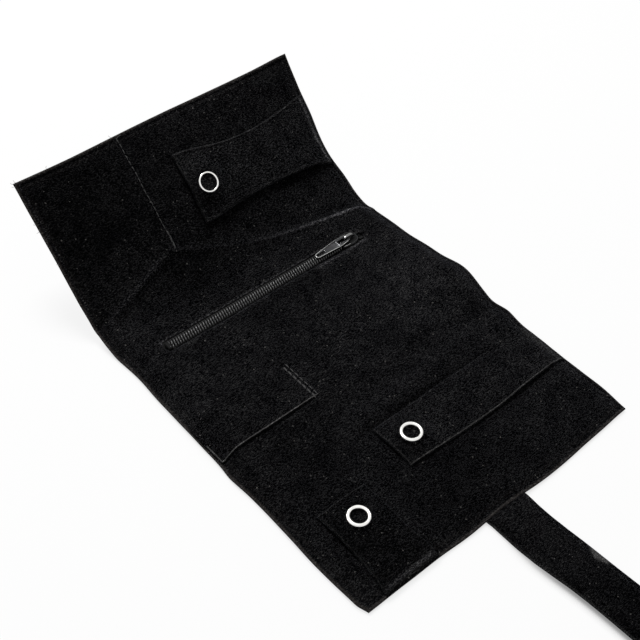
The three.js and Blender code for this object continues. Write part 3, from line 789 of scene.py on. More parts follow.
@dataclass
class RollShape:
    """The roll's own surface: where its lining lies, how it swells and how thin its rim is.

    The flap's rows follow an angle of lean that is added up along t, with one profile at the left edge, one
    in the middle and one at the right edge, because the fold is a crease at the left and a wide curl in the
    middle. A step is given by its start and length, a bell by its centre and spread, and either may have its
    height before them.
    """

    half_width: float = 76.8
    near_t: float = -127.6
    tip_t: float = 117.5
    zip_t: float = 22.1
    fold_t: float = 43.6
    end_top: float = 3.6
    middle_top: float = 5.8
    lowest: float = 0.05
    thin: float = 3.4
    thick: float = 5.6
    rim: float = 1.7
    pinch: float = 9.5
    panel_step: Pair = (-53.4, 12.0)
    thinning: Pair = (32.0, 16.0)
    closing: Pair = (30.0, 20.0)
    seam_groove: Triple = (0.28, 2.4, 0.55)
    rest_lean: float = 41.2
    flap_start: Pair = (46.8276, 7.0132)
    right_part: Pair = (8.0, 62.0)
    left_part: Pair = (-30.0, -42.0)
    crease: Pair = (44.5, 6.0)
    curl: Pair = (36.0, 27.0)
    bow: Triple = (22.0, 36.5, 5.0)
    bow_onward: Triple = (30.0, 42.0, 75.5)
    landing: Triple = (40.0, 40.0, 37.5)
    columns: int = 161
    rows: int = 500
    spare: float = 4.0
    right_rises: Rows = ((1.0, -48.0, -8.0),)
    right_humps: Rows = (
        (-1.2, -128.0, 9.0), (1.5, -55.0, 7.0), (1.2, -26.0, 16.0), (1.7, 15.0, 15.0),
        (2.1, -3.0, 10.0), (-2.6, 68.0, 17.0), (-0.4, 99.0, 9.0), (-1.4, 45.0, 8.0),
    )
    left_rises: Rows = ((1.7, -121.5, -7.5), (-0.4, 52.0, 10.0))
    left_humps: Rows = ((0.5, 10.0, 26.0), (0.8, 20.0, 11.0), (-0.8, -100.0, 20.0), (-0.8, -49.0, 8.0))
    near_out: float = 0.1
    near_humps: Rows = ((-1.4, 25.0, 22.0), (-0.7, -20.0, 12.0), (0.9, 77.0, 14.0))
    tip_in: float = 0.2
    tip_humps: Rows = ((-0.5, -52.0, 22.0), (0.3, 5.0, 24.0), (0.6, 74.0, 12.0))
    lifts: Patches = ((6.3, 76.8, 15.0, -27.0, 15.5), (0.7, -0.7, 15.0, -127.6, 6.0))
    side_lift: Triple = (1.2, 5.0, 60.0)
    side_lift_t: Pair = (-12.0, 26.0)
    crest_line: Line = (
        (-77.0, 46.0), (-69.0, 48.5), (-49.0, 55.0), (-27.0, 62.0), (-7.0, 54.0), (11.0, 47.5),
        (23.0, 44.4), (36.0, 41.9), (48.0, 39.7), (64.0, 36.8), (77.0, 33.6),
    )
    ridge_height: Line = (
        (-77.0, 0.5), (-60.0, 0.9), (-40.0, 1.0), (-27.0, 0.8), (0.0, 0.8), (20.0, 1.6),
        (55.0, 2.0), (77.0, 1.0),
    )
    ridge_front: Line = ((-27.0, 2.5), (10.0, 5.0), (50.0, 9.0))
    ridge_back: float = 2.4
    ridge_share: float = 0.8
    ridge_peak: Triple = (0.35, 0.0, 0.9)
    end_crease: Triple = (-0.4, -46.0, 3.0)
    furrow_from: Pair = (-34.0, 24.0)
    furrow_to: Pair = (66.0, -22.0)
    valley_line: Line = ((-14.0, -66.5), (30.0, -65.9), (41.0, -67.0), (56.0, -69.0))
    valley: Pair = (1.1, 1.7)
    swell_line: Line = ((-20.0, -60.3), (32.0, -56.6), (60.0, -55.5))
    swollen: Pair = (1.8, 4.6)
    snap_seats: Patches = (
        (1.0, 3.9, 14.0, 80.7, 14.0), (1.0, -8.5, 14.0, -79.2, 14.0), (1.0, -51.9, 14.0, -97.0, 14.0),
    )
    wave_height: float = 0.34
    wave: Pair = (46.0, 1.0)
    # Painted highlights along the ridge's crest, the near edge and the flap's left seam.
    crest_highlight: Line = (
        (-77.0, 0.8), (-60.0, 1.6), (-40.0, 1.6), (-27.0, 0.6), (8.0, 0.0), (20.0, 1.2),
        (34.0, 5.0), (44.0, 9.5), (64.0, 13.0), (77.0, 6.0),
    )
    crest_wide: Pair = (1.1, 0.6)
    near_highlight: float = 2.0
    near_highlight_fade: Pair = (0.5, 0.8)
    seam_highlight: Pair = (1.3, 1.1)
    seam_wave: Pair = (9.0, 2.0)
    seam_at: Pair = (2.3, 0.5)
    seam_from: Pair = (50.0, 8.0)
    brushed: Patches = (
        (0.75, 56.0, 26.0, -16.0, 26.0), (0.2, -64.0, 14.0, -10.0, 16.0), (-0.55, -22.0, 26.0, 44.0, 14.0),
        (-0.3, 0.0, 26.0, 13.0, 8.0), (-0.45, 0.0, 32.0, -110.0, 22.0), (-0.35, -46.0, 18.0, -62.0, 16.0),
    )
    # Painted highlight on the swell over the side strap's valley, and painted shadow in that valley.
    swell_highlight: Pair = (0.4, 2.2)
    swell_highlight_x: Pair = (8.0, 30.0)
    valley_shadow: Triple = (0.75, 0.3, 1.1)
    valley_shadow_x: Pair = (18.0, 34.0)
    flap_dark: float = 0.4
    flap_dark_x: Pair = (-60.0, 34.0)
    flap_dark_t: Pair = (60.0, 20.0)
    darkest: float = -0.75
    table_y: Array = field(init=False, repr=False)
    table_z: Array = field(init=False, repr=False)
    table_lean: Array = field(init=False, repr=False)

    def __post_init__(self) -> None:
        """Adds up the lean along t and bends each column so that it ends on the frame's flap."""
        x = np.linspace(-self.half_width, self.half_width, self.columns)[:, None]
        t = np.linspace(self.zip_t, self.tip_t + self.spare, self.rows)[None, :]
        right = rise(x, *self.right_part)
        left = rise(x, *self.left_part)
        crease = self.rest_lean * rise(t, *self.crease)
        curl = self.rest_lean * rise(t, *self.curl)
        onward, start, length = self.bow_onward
        bow = rises(t, (self.bow,)) + onward * np.clip((t - start) / length, 0.0, 1.0)
        lean = np.radians(left * crease + right * bow + (1.0 - left - right) * curl)
        gap = t[0, 1] - t[0, 0]
        middle = 0.5 * (lean[:, 1:] + lean[:, :-1])
        y = self.zip_t + np.pad(np.cumsum(np.cos(middle) * gap, axis=1), ((0, 0), (1, 0)))
        z = self.middle_top + np.pad(np.cumsum(np.sin(middle) * gap, axis=1), ((0, 0), (1, 0)))
        tip = int(round((self.tip_t - self.zip_t) / gap))
        want_y, want_z = self.plane(t[0, tip])
        start, length, more = self.landing
        reach = rise(t, start, length + more * right)
        self.table_y = y + reach * (want_y - y[:, tip])[:, None]
        self.table_z = z + reach * (want_z - z[:, tip])[:, None]
        self.table_lean = lean

    def plane(self, t: Array) -> tuple[Array, Array]:
        """The frame's flap lining: y and z at t."""
        lean = math.radians(self.rest_lean)
        beyond = t - self.fold_t
        return self.flap_start[0] + math.cos(lean) * beyond, self.flap_start[1] + math.sin(lean) * beyond

    def look(self, table: Array, x: Array, t: Array) -> Array:
        """Reads a table between its points, straight in both directions."""
        last_column, last_row = self.columns - 1.001, self.rows - 1.001
        i = np.clip((x / self.half_width + 1.0) * 0.5 * (self.columns - 1), 0.0, last_column)
        span = self.tip_t + self.spare - self.zip_t
        j = np.clip((t - self.zip_t) / span * (self.rows - 1), 0.0, last_row)
        a, b = i.astype(int), j.astype(int)
        u, v = i - a, j - b
        lower = table[a, b] * (1.0 - v) + table[a, b + 1] * v
        upper = table[a + 1, b] * (1.0 - v) + table[a + 1, b + 1] * v
        return lower * (1.0 - u) + upper * u

    def right(self, t: Array) -> Array:
        """The right edge: bowed in on the flap and out beside the lifted corner."""
        return self.half_width + rises(t, self.right_rises) + humps(t, self.right_humps)

    def left(self, t: Array) -> Array:
        """The left edge, almost straight, drawn in at its near corner."""
        return -self.half_width + rises(t, self.left_rises) + humps(t, self.left_humps)

    def near(self, x: Array) -> Array:
        """The near edge: fullest right of its middle."""
        return self.near_t - self.near_out + humps(x, self.near_humps)

    def tip(self, x: Array) -> Array:
        """The flap's tip edge."""
        return self.tip_t - self.tip_in + humps(x, self.tip_humps)

    def inset(self, x: Array, t: Array) -> Array:
        """Distance in from the nearest edge."""
        across = np.minimum(x - self.left(t), self.right(t) - x)
        along = np.minimum(t - self.near(x), self.tip(x) - t)
        return np.maximum(np.minimum(across, along), 0.0)

    def spine(self, x: Array, t: Array) -> tuple[Array, Array, Array]:
        """The lining before it swells: y, z and lean at (x, t)."""
        flat = self.end_top + (self.middle_top - self.end_top) * rise(t, *self.panel_step)
        below = t < self.zip_t
        y = np.where(below, t, self.look(self.table_y, x, t))
        z = np.where(below, flat, self.look(self.table_z, x, t))
        return y, z, np.where(below, 0.0, self.look(self.table_lean, x, t))

    def swell(self, x: Array, t: Array) -> Array:
        """Height of the cloth's waves over the spine.

        A lifted right edge beside the middle and a slight lift at the tie's root, a ridge that runs from the
        fold's right end towards the flap's divider and back to its left end, steep on the flap's side, a
        swell and a valley where the end fold meets the side strap, and slight waves that leave the snaps'
        seats flat.
        """
        lift = patches(x, t, self.lifts) + rises(x, (self.side_lift,)) * hump(t, *self.side_lift_t)
        off = t - self.crest(x)
        foot = np.where(off < 0.0, follow(x, self.ridge_front), self.ridge_back)
        ridge = follow(x, self.ridge_height) * (
            humps(off, (self.ridge_peak,)) + self.ridge_share * hump(off, 0.0, foot)
        )
        furrowed = rise(x, *self.furrow_from) * rise(x, *self.furrow_to)
        sunk = self.valley[0] * hump(t, self.valley_t(x), self.valley[1])
        swollen = self.swollen[0] * hump(t, self.swell_t(x), self.swollen[1])
        fold = humps(t, (self.end_crease,)) + furrowed * (swollen - sunk)
        calm = 1.0 - np.clip(patches(x, t, self.snap_seats), 0.0, 1.0)
        return lift + ridge + fold + self.wave_height * ripple(x, t, *self.wave) * calm

    def valley_t(self, x: Array) -> Array:
        """The t of the valley beside the side strap at x."""
        return follow(x, self.valley_line)

    def swell_t(self, x: Array) -> Array:
        """The t of the swell over that valley at x."""
        return follow(x, self.swell_line)

    def crest(self, x: Array) -> Array:
        """The t of the ridge's top at x."""
        return follow(x, self.crest_line)

    def painted_highlights(self, x: Array, t: Array) -> Array:
        """Painted highlights: along the ridge's top, most at the right, on the near edge and on the left
        seam.
        """
        crest = follow(x, self.crest_highlight) * hump(t, self.crest(x), either(x, self.crest_wide))
        near = self.near_highlight * (1.0 - rise(t - self.near(x), *self.near_highlight_fade))
        uneven = self.seam_highlight[0] + self.seam_highlight[1] * ripple(x, t, *self.seam_wave)
        seam = uneven * hump(x - self.left(t), *self.seam_at) * rise(t, *self.seam_from)
        return np.maximum(crest, np.maximum(near, seam))

    def nap(self, x: Array, t: Array) -> Array:
        """Tone of the pile: paler right of the zip, darker by the fold, the end and the flap.

        A painted highlight lies on the swell over the side strap's valley, and a painted shadow in the
        valley.
        """
        more, spread = self.swell_highlight
        pale = more * hump(t, self.swell_t(x), spread) * hump(x, *self.swell_highlight_x)
        dark = humps(t - self.valley_t(x), (self.valley_shadow,)) * hump(x, *self.valley_shadow_x)
        flap = self.flap_dark * hump(x, *self.flap_dark_x) * rise(t, *self.flap_dark_t)
        return np.maximum(patches(x, t, self.brushed) + pale - dark - flap, self.darkest)

    def surface(self, x: Array, t: Array, under: bool = False) -> Array:
        """The finished lining, or the outer cloth under it.

        The cloth's thickness falls from its full value to the rim's over the pinch, and rounds off to
        nothing at the edge. Where the roll lies on the table the upper side comes down to the rim, on the
        flap both sides close in. A seam groove follows the edge.

        Args:
            x: across the roll in mm.
            t: along the cloth in mm.
            under: True for the outer cloth's side.

        Returns:
            Points in the row frame, in mm.
        """
        y, z, lean = self.spine(x, t)
        d = self.inset(x, t)
        padded = rise(t, *self.panel_step) * (1.0 - rise(t, *self.thinning))
        full = self.thin + (self.thick - self.thin) * padded
        rim = rounded_off(d, self.rim)
        body = rim + (full - self.rim) * ease(d / self.pinch)
        share = 1.0 - 0.5 * rise(t, *self.closing)
        offset = self.swell(x, t) - share * (full - body) + share * (self.rim - rim) * 0.5
        offset = offset - (body if under else humps(d, (self.seam_groove,)))
        z = z + np.cos(lean) * offset
        z = np.where(t < self.zip_t, np.maximum(z, self.lowest), z)
        return np.stack([x + 0.0 * offset, y - np.sin(lean) * offset, z], axis=-1)

    def normal(self, x: Array, t: Array) -> Array:
        """The direction off the lining, from its lean."""
        lean = self.spine(x, t)[2]
        return np.stack([0.0 * lean, -np.sin(lean), np.cos(lean)], axis=-1)

    def lifted(self, x: Array, t: Array, height: Array) -> Array:
        """Points at a height off the lining."""
        return self.surface(x, t) + self.normal(x, t) * height[..., None]


@dataclass
class RollCloth:
    """The two velvet shells of the roll, which meet along the zip.

    The lip's pairs are the lower shell's and the flap's.
    """

    shape: RollShape
    zip_left: float = -58.0
    zip_right: float = 57.0
    opening: Pair = (1.2, 1.6)
    seam_gap: float = 0.02
    lip: Pair = (1.9, 4.1)
    lip_fall: Pair = (1.22, 1.0)
    lip_flat: Pair = (0.5, 0.0)
    lip_rise: float = 1.5
    lip_depth: float = 0.13
    hem_share: float = 0.2
    window: float = 4.3
    pocket_floor: float = 1.0
    floor_share: float = 0.4
    wall_gap: float = 0.01
    # Painted highlights along both lips, and the rim's paling: worn pile and a painted seam highlight.
    flap_lip_highlight: Pair = (4.3, 1.4)
    lower_lip_highlight: Triple = (0.7, 3.4, 0.9)
    lower_farther: Pair = (-20.0, -25.0)
    slider_lip_highlight: Triple = (3.2, 4.6, 0.8)
    slider_from: Pair = (24.0, 6.0)
    worn: float = 1.5
    seam_rim_highlight: Triple = (0.08, 3.3, 0.5)
    columns: Line = ((0.0, 0.14), (0.85, 0.4), (4.0, 0.9), (10.0, 1.05))
    flap_rows: Line = (
        (0.0, 0.22), (3.6, 0.9), (12.0, 0.75), (42.0, 1.0), (85.4, 0.9), (91.4, 0.4), (94.55, 0.14),
        (95.4, 1.0),
    )
    lower_rows: Line = (
        (0.0, 0.22), (3.6, 1.0), (62.0, 0.8), (78.0, 1.1), (139.7, 0.9), (145.7, 0.4), (148.85, 0.14),
        (149.7, 1.0),
    )

    def ends(self, x: Array) -> Array:
        """1 along the zip opening, easing to 0 beyond its two ends."""
        beyond, fade = self.opening
        return rise(x, self.zip_left - beyond, fade) * rise(x, self.zip_right + beyond, -fade)

    def flap_lip(self, away: Array) -> Array:
        """Painted highlight along the flap's lip of the zip."""
        return self.flap_lip_highlight[0] * (1.0 - rise(away, self.lip[1], self.flap_lip_highlight[1]))

    def lower_lip(self, x: Array, away: Array) -> Array:
        """Painted highlight along the lower lip: faint and farther off at the left, brighter by the slider.
        """
        height, middle, spread = self.lower_lip_highlight
        line = height * hump(away, middle + rise(x, *self.lower_farther), spread)
        return line + humps(away, (self.slider_lip_highlight,)) * rise(x, *self.slider_from)

    def across(self) -> Array:
        """Columns of both shells as shares of the width, close together at the rims."""
        half = self.shape.half_width
        return mirrored(steps(*self.columns, (half, 1.0))) / (2.0 * half)

    def grid(self, rows: Array, flap: bool) -> tuple[Array, Array, Array]:
        """The shell's places on the roll.

        A row's share runs from the zip line to the outer edge. The upper grid starts at the lip of the zip
        opening, the under grid at the zip line itself.

        Args:
            rows: shares from the zip (0) to the outer edge (1).
            flap: True for the flap's shell, False for the middle and end.

        Returns:
            x, the upper grid's t and the under grid's t.
        """
        shape = self.shape
        share = rows[:, None]
        flat_t = shape.zip_t + share * ((shape.tip_t if flap else shape.near_t) - shape.zip_t)
        x = shape.left(flat_t) + self.across()[None, :] * (shape.right(flat_t) - shape.left(flat_t))
        edge = shape.tip(x) if flap else shape.near(x)
        lip_t = shape.zip_t + (1.0 if flap else -1.0) * (self.seam_gap + self.lip[flap] * self.ends(x))
        return x, lip_t + share * (edge - lip_t), shape.zip_t + share * (edge - shape.zip_t)

    def wall(self, upper: Array, under: Array, x: Array, flap: bool) -> list[Array]:
        """The wall under the zip's lip, which makes the pocket's opening.

        Args:
            upper: the lip's points.
            under: the outer cloth's points at the zip line.
            x: their places across the roll.
            flap: True for the flap's shell.

        Returns:
            Rows of points: the hem under the lip, the wall's foot and the foot's end at the zip line.
        """
        ahead = 1.0 if flap else -1.0
        deep = upper[:, 2] - under[:, 2]
        hem = upper.copy()
        hem[:, 1] += ahead * np.maximum(self.window - self.lip[flap], 0.0) * self.ends(x)
        hem[:, 2] -= np.minimum(self.lip_depth, self.hem_share * deep)
        outer = hem.copy()
        outer[:, 2] = under[:, 2] + np.minimum(self.pocket_floor, self.floor_share * deep)
        inner = outer.copy()
        inner[:, 1] = under[:, 1] + ahead * self.wall_gap
        return [hem, outer, inner]

    def make(self, name: str, flap: bool, finish: Material) -> Piece:
        """Builds one shell: its two grids, and the wall under the zip's lip.

        Beside the zip the upper grid lies lower by the lip's fall, and comes up over the lip's rise.

        Args:
            name: the piece's name.
            flap: True for the flap's shell.
            finish: its velvet.

        Returns:
            The piece.
        """
        shape = self.shape
        rows = steps(*(self.flap_rows if flap else self.lower_rows))
        x, t, low_t = self.grid(rows / rows[-1], flap)
        away = np.abs(t - shape.zip_t)
        upper = shape.surface(x, t)
        flat = self.lip[flap] + self.lip_flat[flap]
        upper[..., 2] -= self.lip_fall[flap] * self.ends(x) * (1.0 - rise(away, flat, self.lip_rise))
        under = shape.surface(x, low_t, under=True)
        wall = self.wall(upper[0], under[0], x[0], flap)
        # Painted highlights along the lips; the rim pales by wear and by a painted edge and seam highlight.
        lip = self.ends(x) * (self.flap_lip(away) if flap else self.lower_lip(x, away))
        d = shape.inset(x, t)
        rim = 1.0 - ease(d / self.worn) + humps(d, (self.seam_rim_highlight,))
        nap = shape.nap(x, t) + np.maximum(shape.painted_highlights(x, t), lip)
        order = 1 if flap else -1
        skin = Skin.sewn(upper[::order], under[::order], 0 if flap else -1, wall)
        return skin.piece(name, finish, rim=rim[::order], nap=nap[::order])

    def build(self, dress: Wardrobe) -> list[Piece]:
        """Args:
            dress: the finishes.

        Returns:
            The two pieces.
        """
        flap = self.make("flap_cloth", True, dress.cloth)
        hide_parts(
            "flap_outer_shell", "flap_interlining", "flap_pocket_lining", "flap_fold_outer",
            "flap_fold_lining",
        )
        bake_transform(flap)
        lower = self.make("lower_cloth", False, dress.cloth)
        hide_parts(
            "middle_outer_shell", "middle_interlining", "zip_pocket_back", "middle_lining",
            "end_fold_outer", "end_fold_lining", "end_outer_shell", "end_interlining", "end_lining",
        )
        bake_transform(lower)
        return [flap, lower]


@dataclass
class SnapStrap:
    """A velvet strap that snaps onto its panel, with its open ring.

    Along the strap u runs from its root to its free end and w across it. Pairs are for the negative and the
    positive side of w.
    """

    shape: RollShape
    label: str
    body: Body
    run: StrapRun
    root: float
    centre: float
    width: float
    length: float
    setback: float
    arch: float
    panel: Body = Body.END
    start: float = -0.2
    thickness: float = 1.8
    flare: Pair = (0.0, 0.0)
    flare_reach: float = 16.0
    splay: Pair = (0.0, 0.0)
    splay_reach: float = 26.0
    waist: Pair = (0.0, 0.0)
    sway: float = 0.3
    sway_wave: Pair = (60.0, 2.0)
    sway_from: float = 20.0
    roll_edge: float = 0.0
    seat: float = 0.1
    snap_height: float = 2.4
    reach: float = 10.0
    bow: float = 50.0
    edge_follow: float = 12.0
    fuzz: float = 0.10
    fuzz_wave: Pair = (13.0, 4.0)
    seam: Triple = (0.16, 2.0, 0.5)
    root_seam: Triple = (0.3, 3.9, 0.6)
    # Paler rims: frayed cut edges, with a painted highlight on the lit side, the root's facet and fold.
    frayed: Pair = (0.3, 0.3)
    frayed_end: float = 0.3
    root_facet_highlight: float = 0.1
    fray_line: Pair = (0.5, 0.2)
    facet: Pair = (2.8, 1.6)
    brushed: float = 0.0
    root_fold_highlight: Triple = (0.0, 3.0, 0.65)
    root_fold_highlight_fade: float = 3.0
    bend: float = 4.6
    ring_outer: float = 5.1
    ring_inner: float = 3.42
    ring_height: float = 2.2
    ring_aside: float = -1.2
    ring_sunk: float = 0.35
    ring_fill: float = 0.8
    ring_corners: tuple[int, int] = (20, 72)
    ring_sharp: float = 80.0

    def height(self, u: Array, w: Array) -> Array:
        """Height of the strap's underside over the lining.

        It lies on its seat, is lifted over the snap by a flat-topped hump, exp(-(r / reach)^4) of the
        distance r from the snap, and bows up behind its root by a sine-squared arch that leans across by
        roll_edge.
        """
        r = np.hypot(u - self.length + self.setback, w)
        over = np.exp(-((r / self.reach) ** 4))
        bow = np.sin(math.pi * np.clip(u / self.bow, 0.0, 1.0)) ** 2
        leaning = 1.0 + self.roll_edge * 2.0 * w / self.width
        return self.seat + (self.snap_height - self.seat) * over + self.arch * leaning * bow

    def place(self, u: Array, w: Array) -> tuple[Array, Array]:
        """The roll's x and t under a point of the strap."""
        if self.run is StrapRun.FROM_RIGHT:
            return self.root - u, self.centre + w
        return self.centre + w, self.root + u

    def outline(self, u: Array, w: Array) -> tuple[Array, Array]:
        """The roll's x and t under the strap's own uneven outline.

        The strap is wider by its flare at the root and by its splay at the free end, narrower by its waist
        in the middle, sways across along its length and starts at the roll's own right edge.
        """
        wide = either(w, self.flare) * (1.0 - ease(u / self.flare_reach))
        wide = wide + either(w, self.splay) * rise(u, self.length - self.splay_reach, self.splay_reach)
        wide = wide - either(w, self.waist) * np.sin(math.pi * np.clip(u / self.length, 0.0, 1.0)) ** 2
        sway = self.sway * ripple(u, 0.0 * u + self.width, *self.sway_wave) * ease(u / self.sway_from)
        x, t = self.place(u, w * (1.0 + wide / (self.width / 2.0)) + sway)
        if self.run is StrapRun.FROM_RIGHT:
            x = x + (self.shape.right(t) - self.shape.half_width) * (1.0 - ease(u / self.edge_follow))
        return x, t

    def grids(self) -> tuple[Array, Array, Array, Array]:
        """Upper and under grids of the strap, and at their points the rim's share, paled by fraying and by a
        painted edge highlight, and the mark of nap and painted light.

        Rows run across the strap and columns along it. The thickness rounds off to nothing over half of it
        at every edge.
        """
        half, first, last = self.width / 2.0, self.start, self.length
        across = mirrored(steps((0.0, 0.13), (0.9, 0.45), (4.0, 1.1), (half, 1.0))) - half
        along = steps(
            (first, 0.13), (first + 0.9, 0.5), (4.0, 1.2), (last - 4.0, 0.45), (last - 0.9, 0.13),
            (last, 1.0),
        )
        w, u = np.meshgrid(across, along, indexing="ij")
        x, t = self.outline(u, w)
        inner = half - np.abs(w)
        d = np.minimum(inner, np.minimum(u - first, last - u))
        body = rounded_off(d, self.thickness) / 2.0
        groove = humps(d, (self.seam,)) + humps(u, (self.root_seam,))
        middle = self.height(u, w) + self.thickness / 2.0 + self.fuzz * ripple(u, w, *self.fuzz_wave)
        upper = self.shape.lifted(x, t, middle + body - groove)
        under = self.shape.lifted(x, t, middle - body)
        # Paler rims by fraying and painted highlight; painted highlights on the root's facet and its fold.
        sides = either(w, self.frayed) * hump(inner, *self.fray_line)
        end = self.frayed_end * hump(last - u, *self.fray_line)
        root = self.root_facet_highlight * (1.0 - rise(u, *self.facet))
        nap = self.brushed + humps(u, (self.root_fold_highlight,)) * ease(inner / self.root_fold_highlight_fade)
        return upper, under, np.maximum(sides, np.maximum(end, root)), nap

    def ring(self, finish: Material) -> Piece:
        """The snap's open ring: a rounded bar turned round the snap's axis.

        Its cross-section is a flattened oval, r = middle + half-width cos a and z = half-height sin a, with
        the corners filled out by a power.

        Args:
            finish: the ring's metal.

        Returns:
            The piece.
        """
        x, t = self.place(np.array(self.length - self.setback), np.array(self.ring_aside))
        off = self.shape.normal(x, t)
        level = self.snap_height + self.thickness + self.ring_height / 2.0 - self.ring_sunk
        y, z = self.shape.plane(t) if t > self.shape.zip_t else (t, np.array(self.shape.end_top))
        centre = np.array([float(x), float(y), float(z)]) + off * level
        side = np.array([1.0, 0.0, 0.0])
        other = np.cross(off, side)
        a = np.linspace(0.0, 2.0 * math.pi, self.ring_corners[0], endpoint=False)
        wide, tall = (np.sign(each) * np.abs(each) ** self.ring_fill for each in (np.cos(a), np.sin(a)))
        r = (self.ring_outer + self.ring_inner) / 2.0 + wide * (self.ring_outer - self.ring_inner) / 2.0
        turn = np.linspace(0.0, 2.0 * math.pi, self.ring_corners[1], endpoint=False)[:, None]
        points = centre + off * (tall * self.ring_height / 2.0)[None, :, None] + (
            side * (np.cos(turn) * r)[..., None] + other * (np.sin(turn) * r)[..., None]
        )
        index = np.arange(points.shape[0] * points.shape[1]).reshape(points.shape[:2])
        index = np.pad(index, ((0, 1), (0, 1)), mode="wrap")
        quads = grid_quads(index)[:, ::-1].tolist()
        return put_mesh(f"{self.label}_ring", points, quads, finish, sharp=self.ring_sharp)

    def hinge(self) -> tuple[Triple, Triple]:
        """Where the strap leaves its panel and where it fully swings, just inside its root, in metres."""
        if self.run is StrapRun.FROM_RIGHT:
            edge = self.shape.right(self.centre + np.linspace(-0.5, 0.5, 9) * self.width)
            first = self.root + float(edge.min()) - self.shape.half_width
            return (first * MM, 0.0, 0.0), ((first - self.bend) * MM, 0.0, 0.0)
        first = self.root + self.start
        return (0.0, first * MM, 0.0), (0.0, (first + self.bend) * MM, 0.0)

    def build(self, dress: Wardrobe) -> list[Piece]:
        """Makes the strap and its ring, which rides on the strap's leaf.

        Args:
            dress: the finishes.

        Returns:
            The two pieces.
        """
        if self.run is StrapRun.FROM_RIGHT:
            upper, under, rim, nap = (each[:, ::-1] for each in self.grids())
        else:
            upper, under, rim, nap = (np.swapaxes(each, 0, 1) for each in self.grids())
        strap = Skin.sewn(upper, under).piece(f"{self.label}_strap_cloth", dress.strap, rim=rim, nap=nap)
        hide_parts(f"{self.label}_strap")
        ring = self.ring(dress.nickel)
        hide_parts(f"{self.label}_snap_cap_ring")
        start, end = self.hinge()
        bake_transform(strap)
        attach(ring, self.body.value)
        return [strap, ring]


@dataclass
class SewnBand:
    """The band at the left of the middle panel, sewn down at both ends."""

    shape: RollShape
    left: float = -76.2
    right: float = -23.4
    low: float = -40.5
    high: float = -18.5
    thickness: float = 1.1
    seat: float = 0.06
    arch: float = 0.45
    flare: float = 0.5
    pulled: Pair = (0.2, 1.1)
    sway: float = 0.4
    sway_wave: Pair = (50.0, 3.0)
    fuzz: float = 0.08
    fuzz_wave: Pair = (12.0, 6.0)
    fray_line: Pair = (0.42, 0.18)
    # The lower edge is paler: fraying and a painted edge highlight.
    frayed: Pair = (0.9, 0.02)
    fray_end: float = 0.05
    rows: Line = ((0.0, 0.13), (0.8, 0.45), (4.0, 1.0), (18.0, 0.45), (21.2, 0.13), (22.0, 1.0))
    columns: Line = ((0.0, 0.13), (0.8, 0.45), (4.0, 1.0), (44.0, 0.5), (52.8, 0.13), (53.6, 1.0))
    stitch_x: Triple = (-26.5, -24.5, -26.1)
    stitch_shift: Triple = (0.0, 1.2, 0.5)
    stitch_below: float = 0.4
    stitch: float = 2.4
    pause: float = 0.7
    stitch_lift: Pair = (0.05, 0.28)
    thread: tuple[float, ...] = (0.08, 0.13, 0.15, 0.15, 0.15, 0.13, 0.08)

    def height(self, x: Array, t: Array) -> Array:
        """Height of the band's underside: a low sine arch that is pulled down at its stitch rows."""
        part = np.clip((x - self.left) / (self.stitch_x[0] - self.left), 0.0, 1.0)
        flare = 1.0 + self.flare * (self.low + self.high - 2.0 * t) / (self.high - self.low)
        depth, spread = self.pulled
        pulled = depth * (hump(x, self.stitch_x[0], spread) + hump(x, self.stitch_x[1], spread))
        return self.seat + self.arch * flare * np.sin(math.pi * part) - pulled

    def cloth(self, finish: Material) -> Piece:
        """The band itself, a thin cloth whose thickness rounds off at every edge.

        Args:
            finish: its velvet.

        Returns:
            The piece.
        """
        rows, columns = steps(*self.rows), steps(*self.columns)
        v, u = np.meshgrid(rows / rows[-1], columns / columns[-1], indexing="ij")
        long, wide = self.right - self.left, self.high - self.low
        x = self.left + u * long
        t = self.low + v * wide + self.sway * ripple(x, 0.0 * x, *self.sway_wave)
        d = np.minimum(np.minimum(v, 1.0 - v) * wide, np.minimum(u, 1.0 - u) * long)
        body = rounded_off(d, self.thickness) / 2.0
        middle = self.height(x, t) + self.thickness / 2.0 + self.fuzz * ripple(x, t, *self.fuzz_wave)
        skin = Skin.sewn(self.shape.lifted(x, t, middle + body), self.shape.lifted(x, t, middle - body))
        # Paler lower edge: fraying and a painted edge highlight.
        rim = hump(d, *self.fray_line) * either(v - 0.5, self.frayed) * ease((1.0 - u) / self.fray_end)
        return skin.piece("band_cloth", finish, rim=rim)

    def sewing(self, finish: Material) -> Piece:
        """The stitches at the band's right end, each a low arch of thread.

        Args:
            finish: the thread.

        Returns:
            The piece.
        """
        start = np.arange(self.low - self.stitch_below, self.high - self.stitch, self.stitch + self.pause)
        part = np.linspace(0.0, 1.0, len(self.thread))
        t = np.concatenate([start + shift for shift in self.stitch_shift])[:, None] + part * self.stitch
        x = np.repeat(self.stitch_x, len(start))[:, None] + 0.0 * t
        over, arch = self.stitch_lift
        lift = self.height(x, t) + self.thickness + over + arch * np.sin(math.pi * part)
        return put_threads("band_stitches", self.shape.lifted(x, t, lift), self.thread, UP, finish)

    def build(self, dress: Wardrobe) -> list[Piece]:
        """Makes the band and its stitches.

        Args:
            dress: the finishes.

        Returns:
            The two pieces.
        """
        band, sewing = self.cloth(dress.strap), self.sewing(dress.thread)
        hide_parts("sewn_band")
        for piece in (band, sewing):
            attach(piece, Body.MIDDLE.value)
        return [band, sewing]


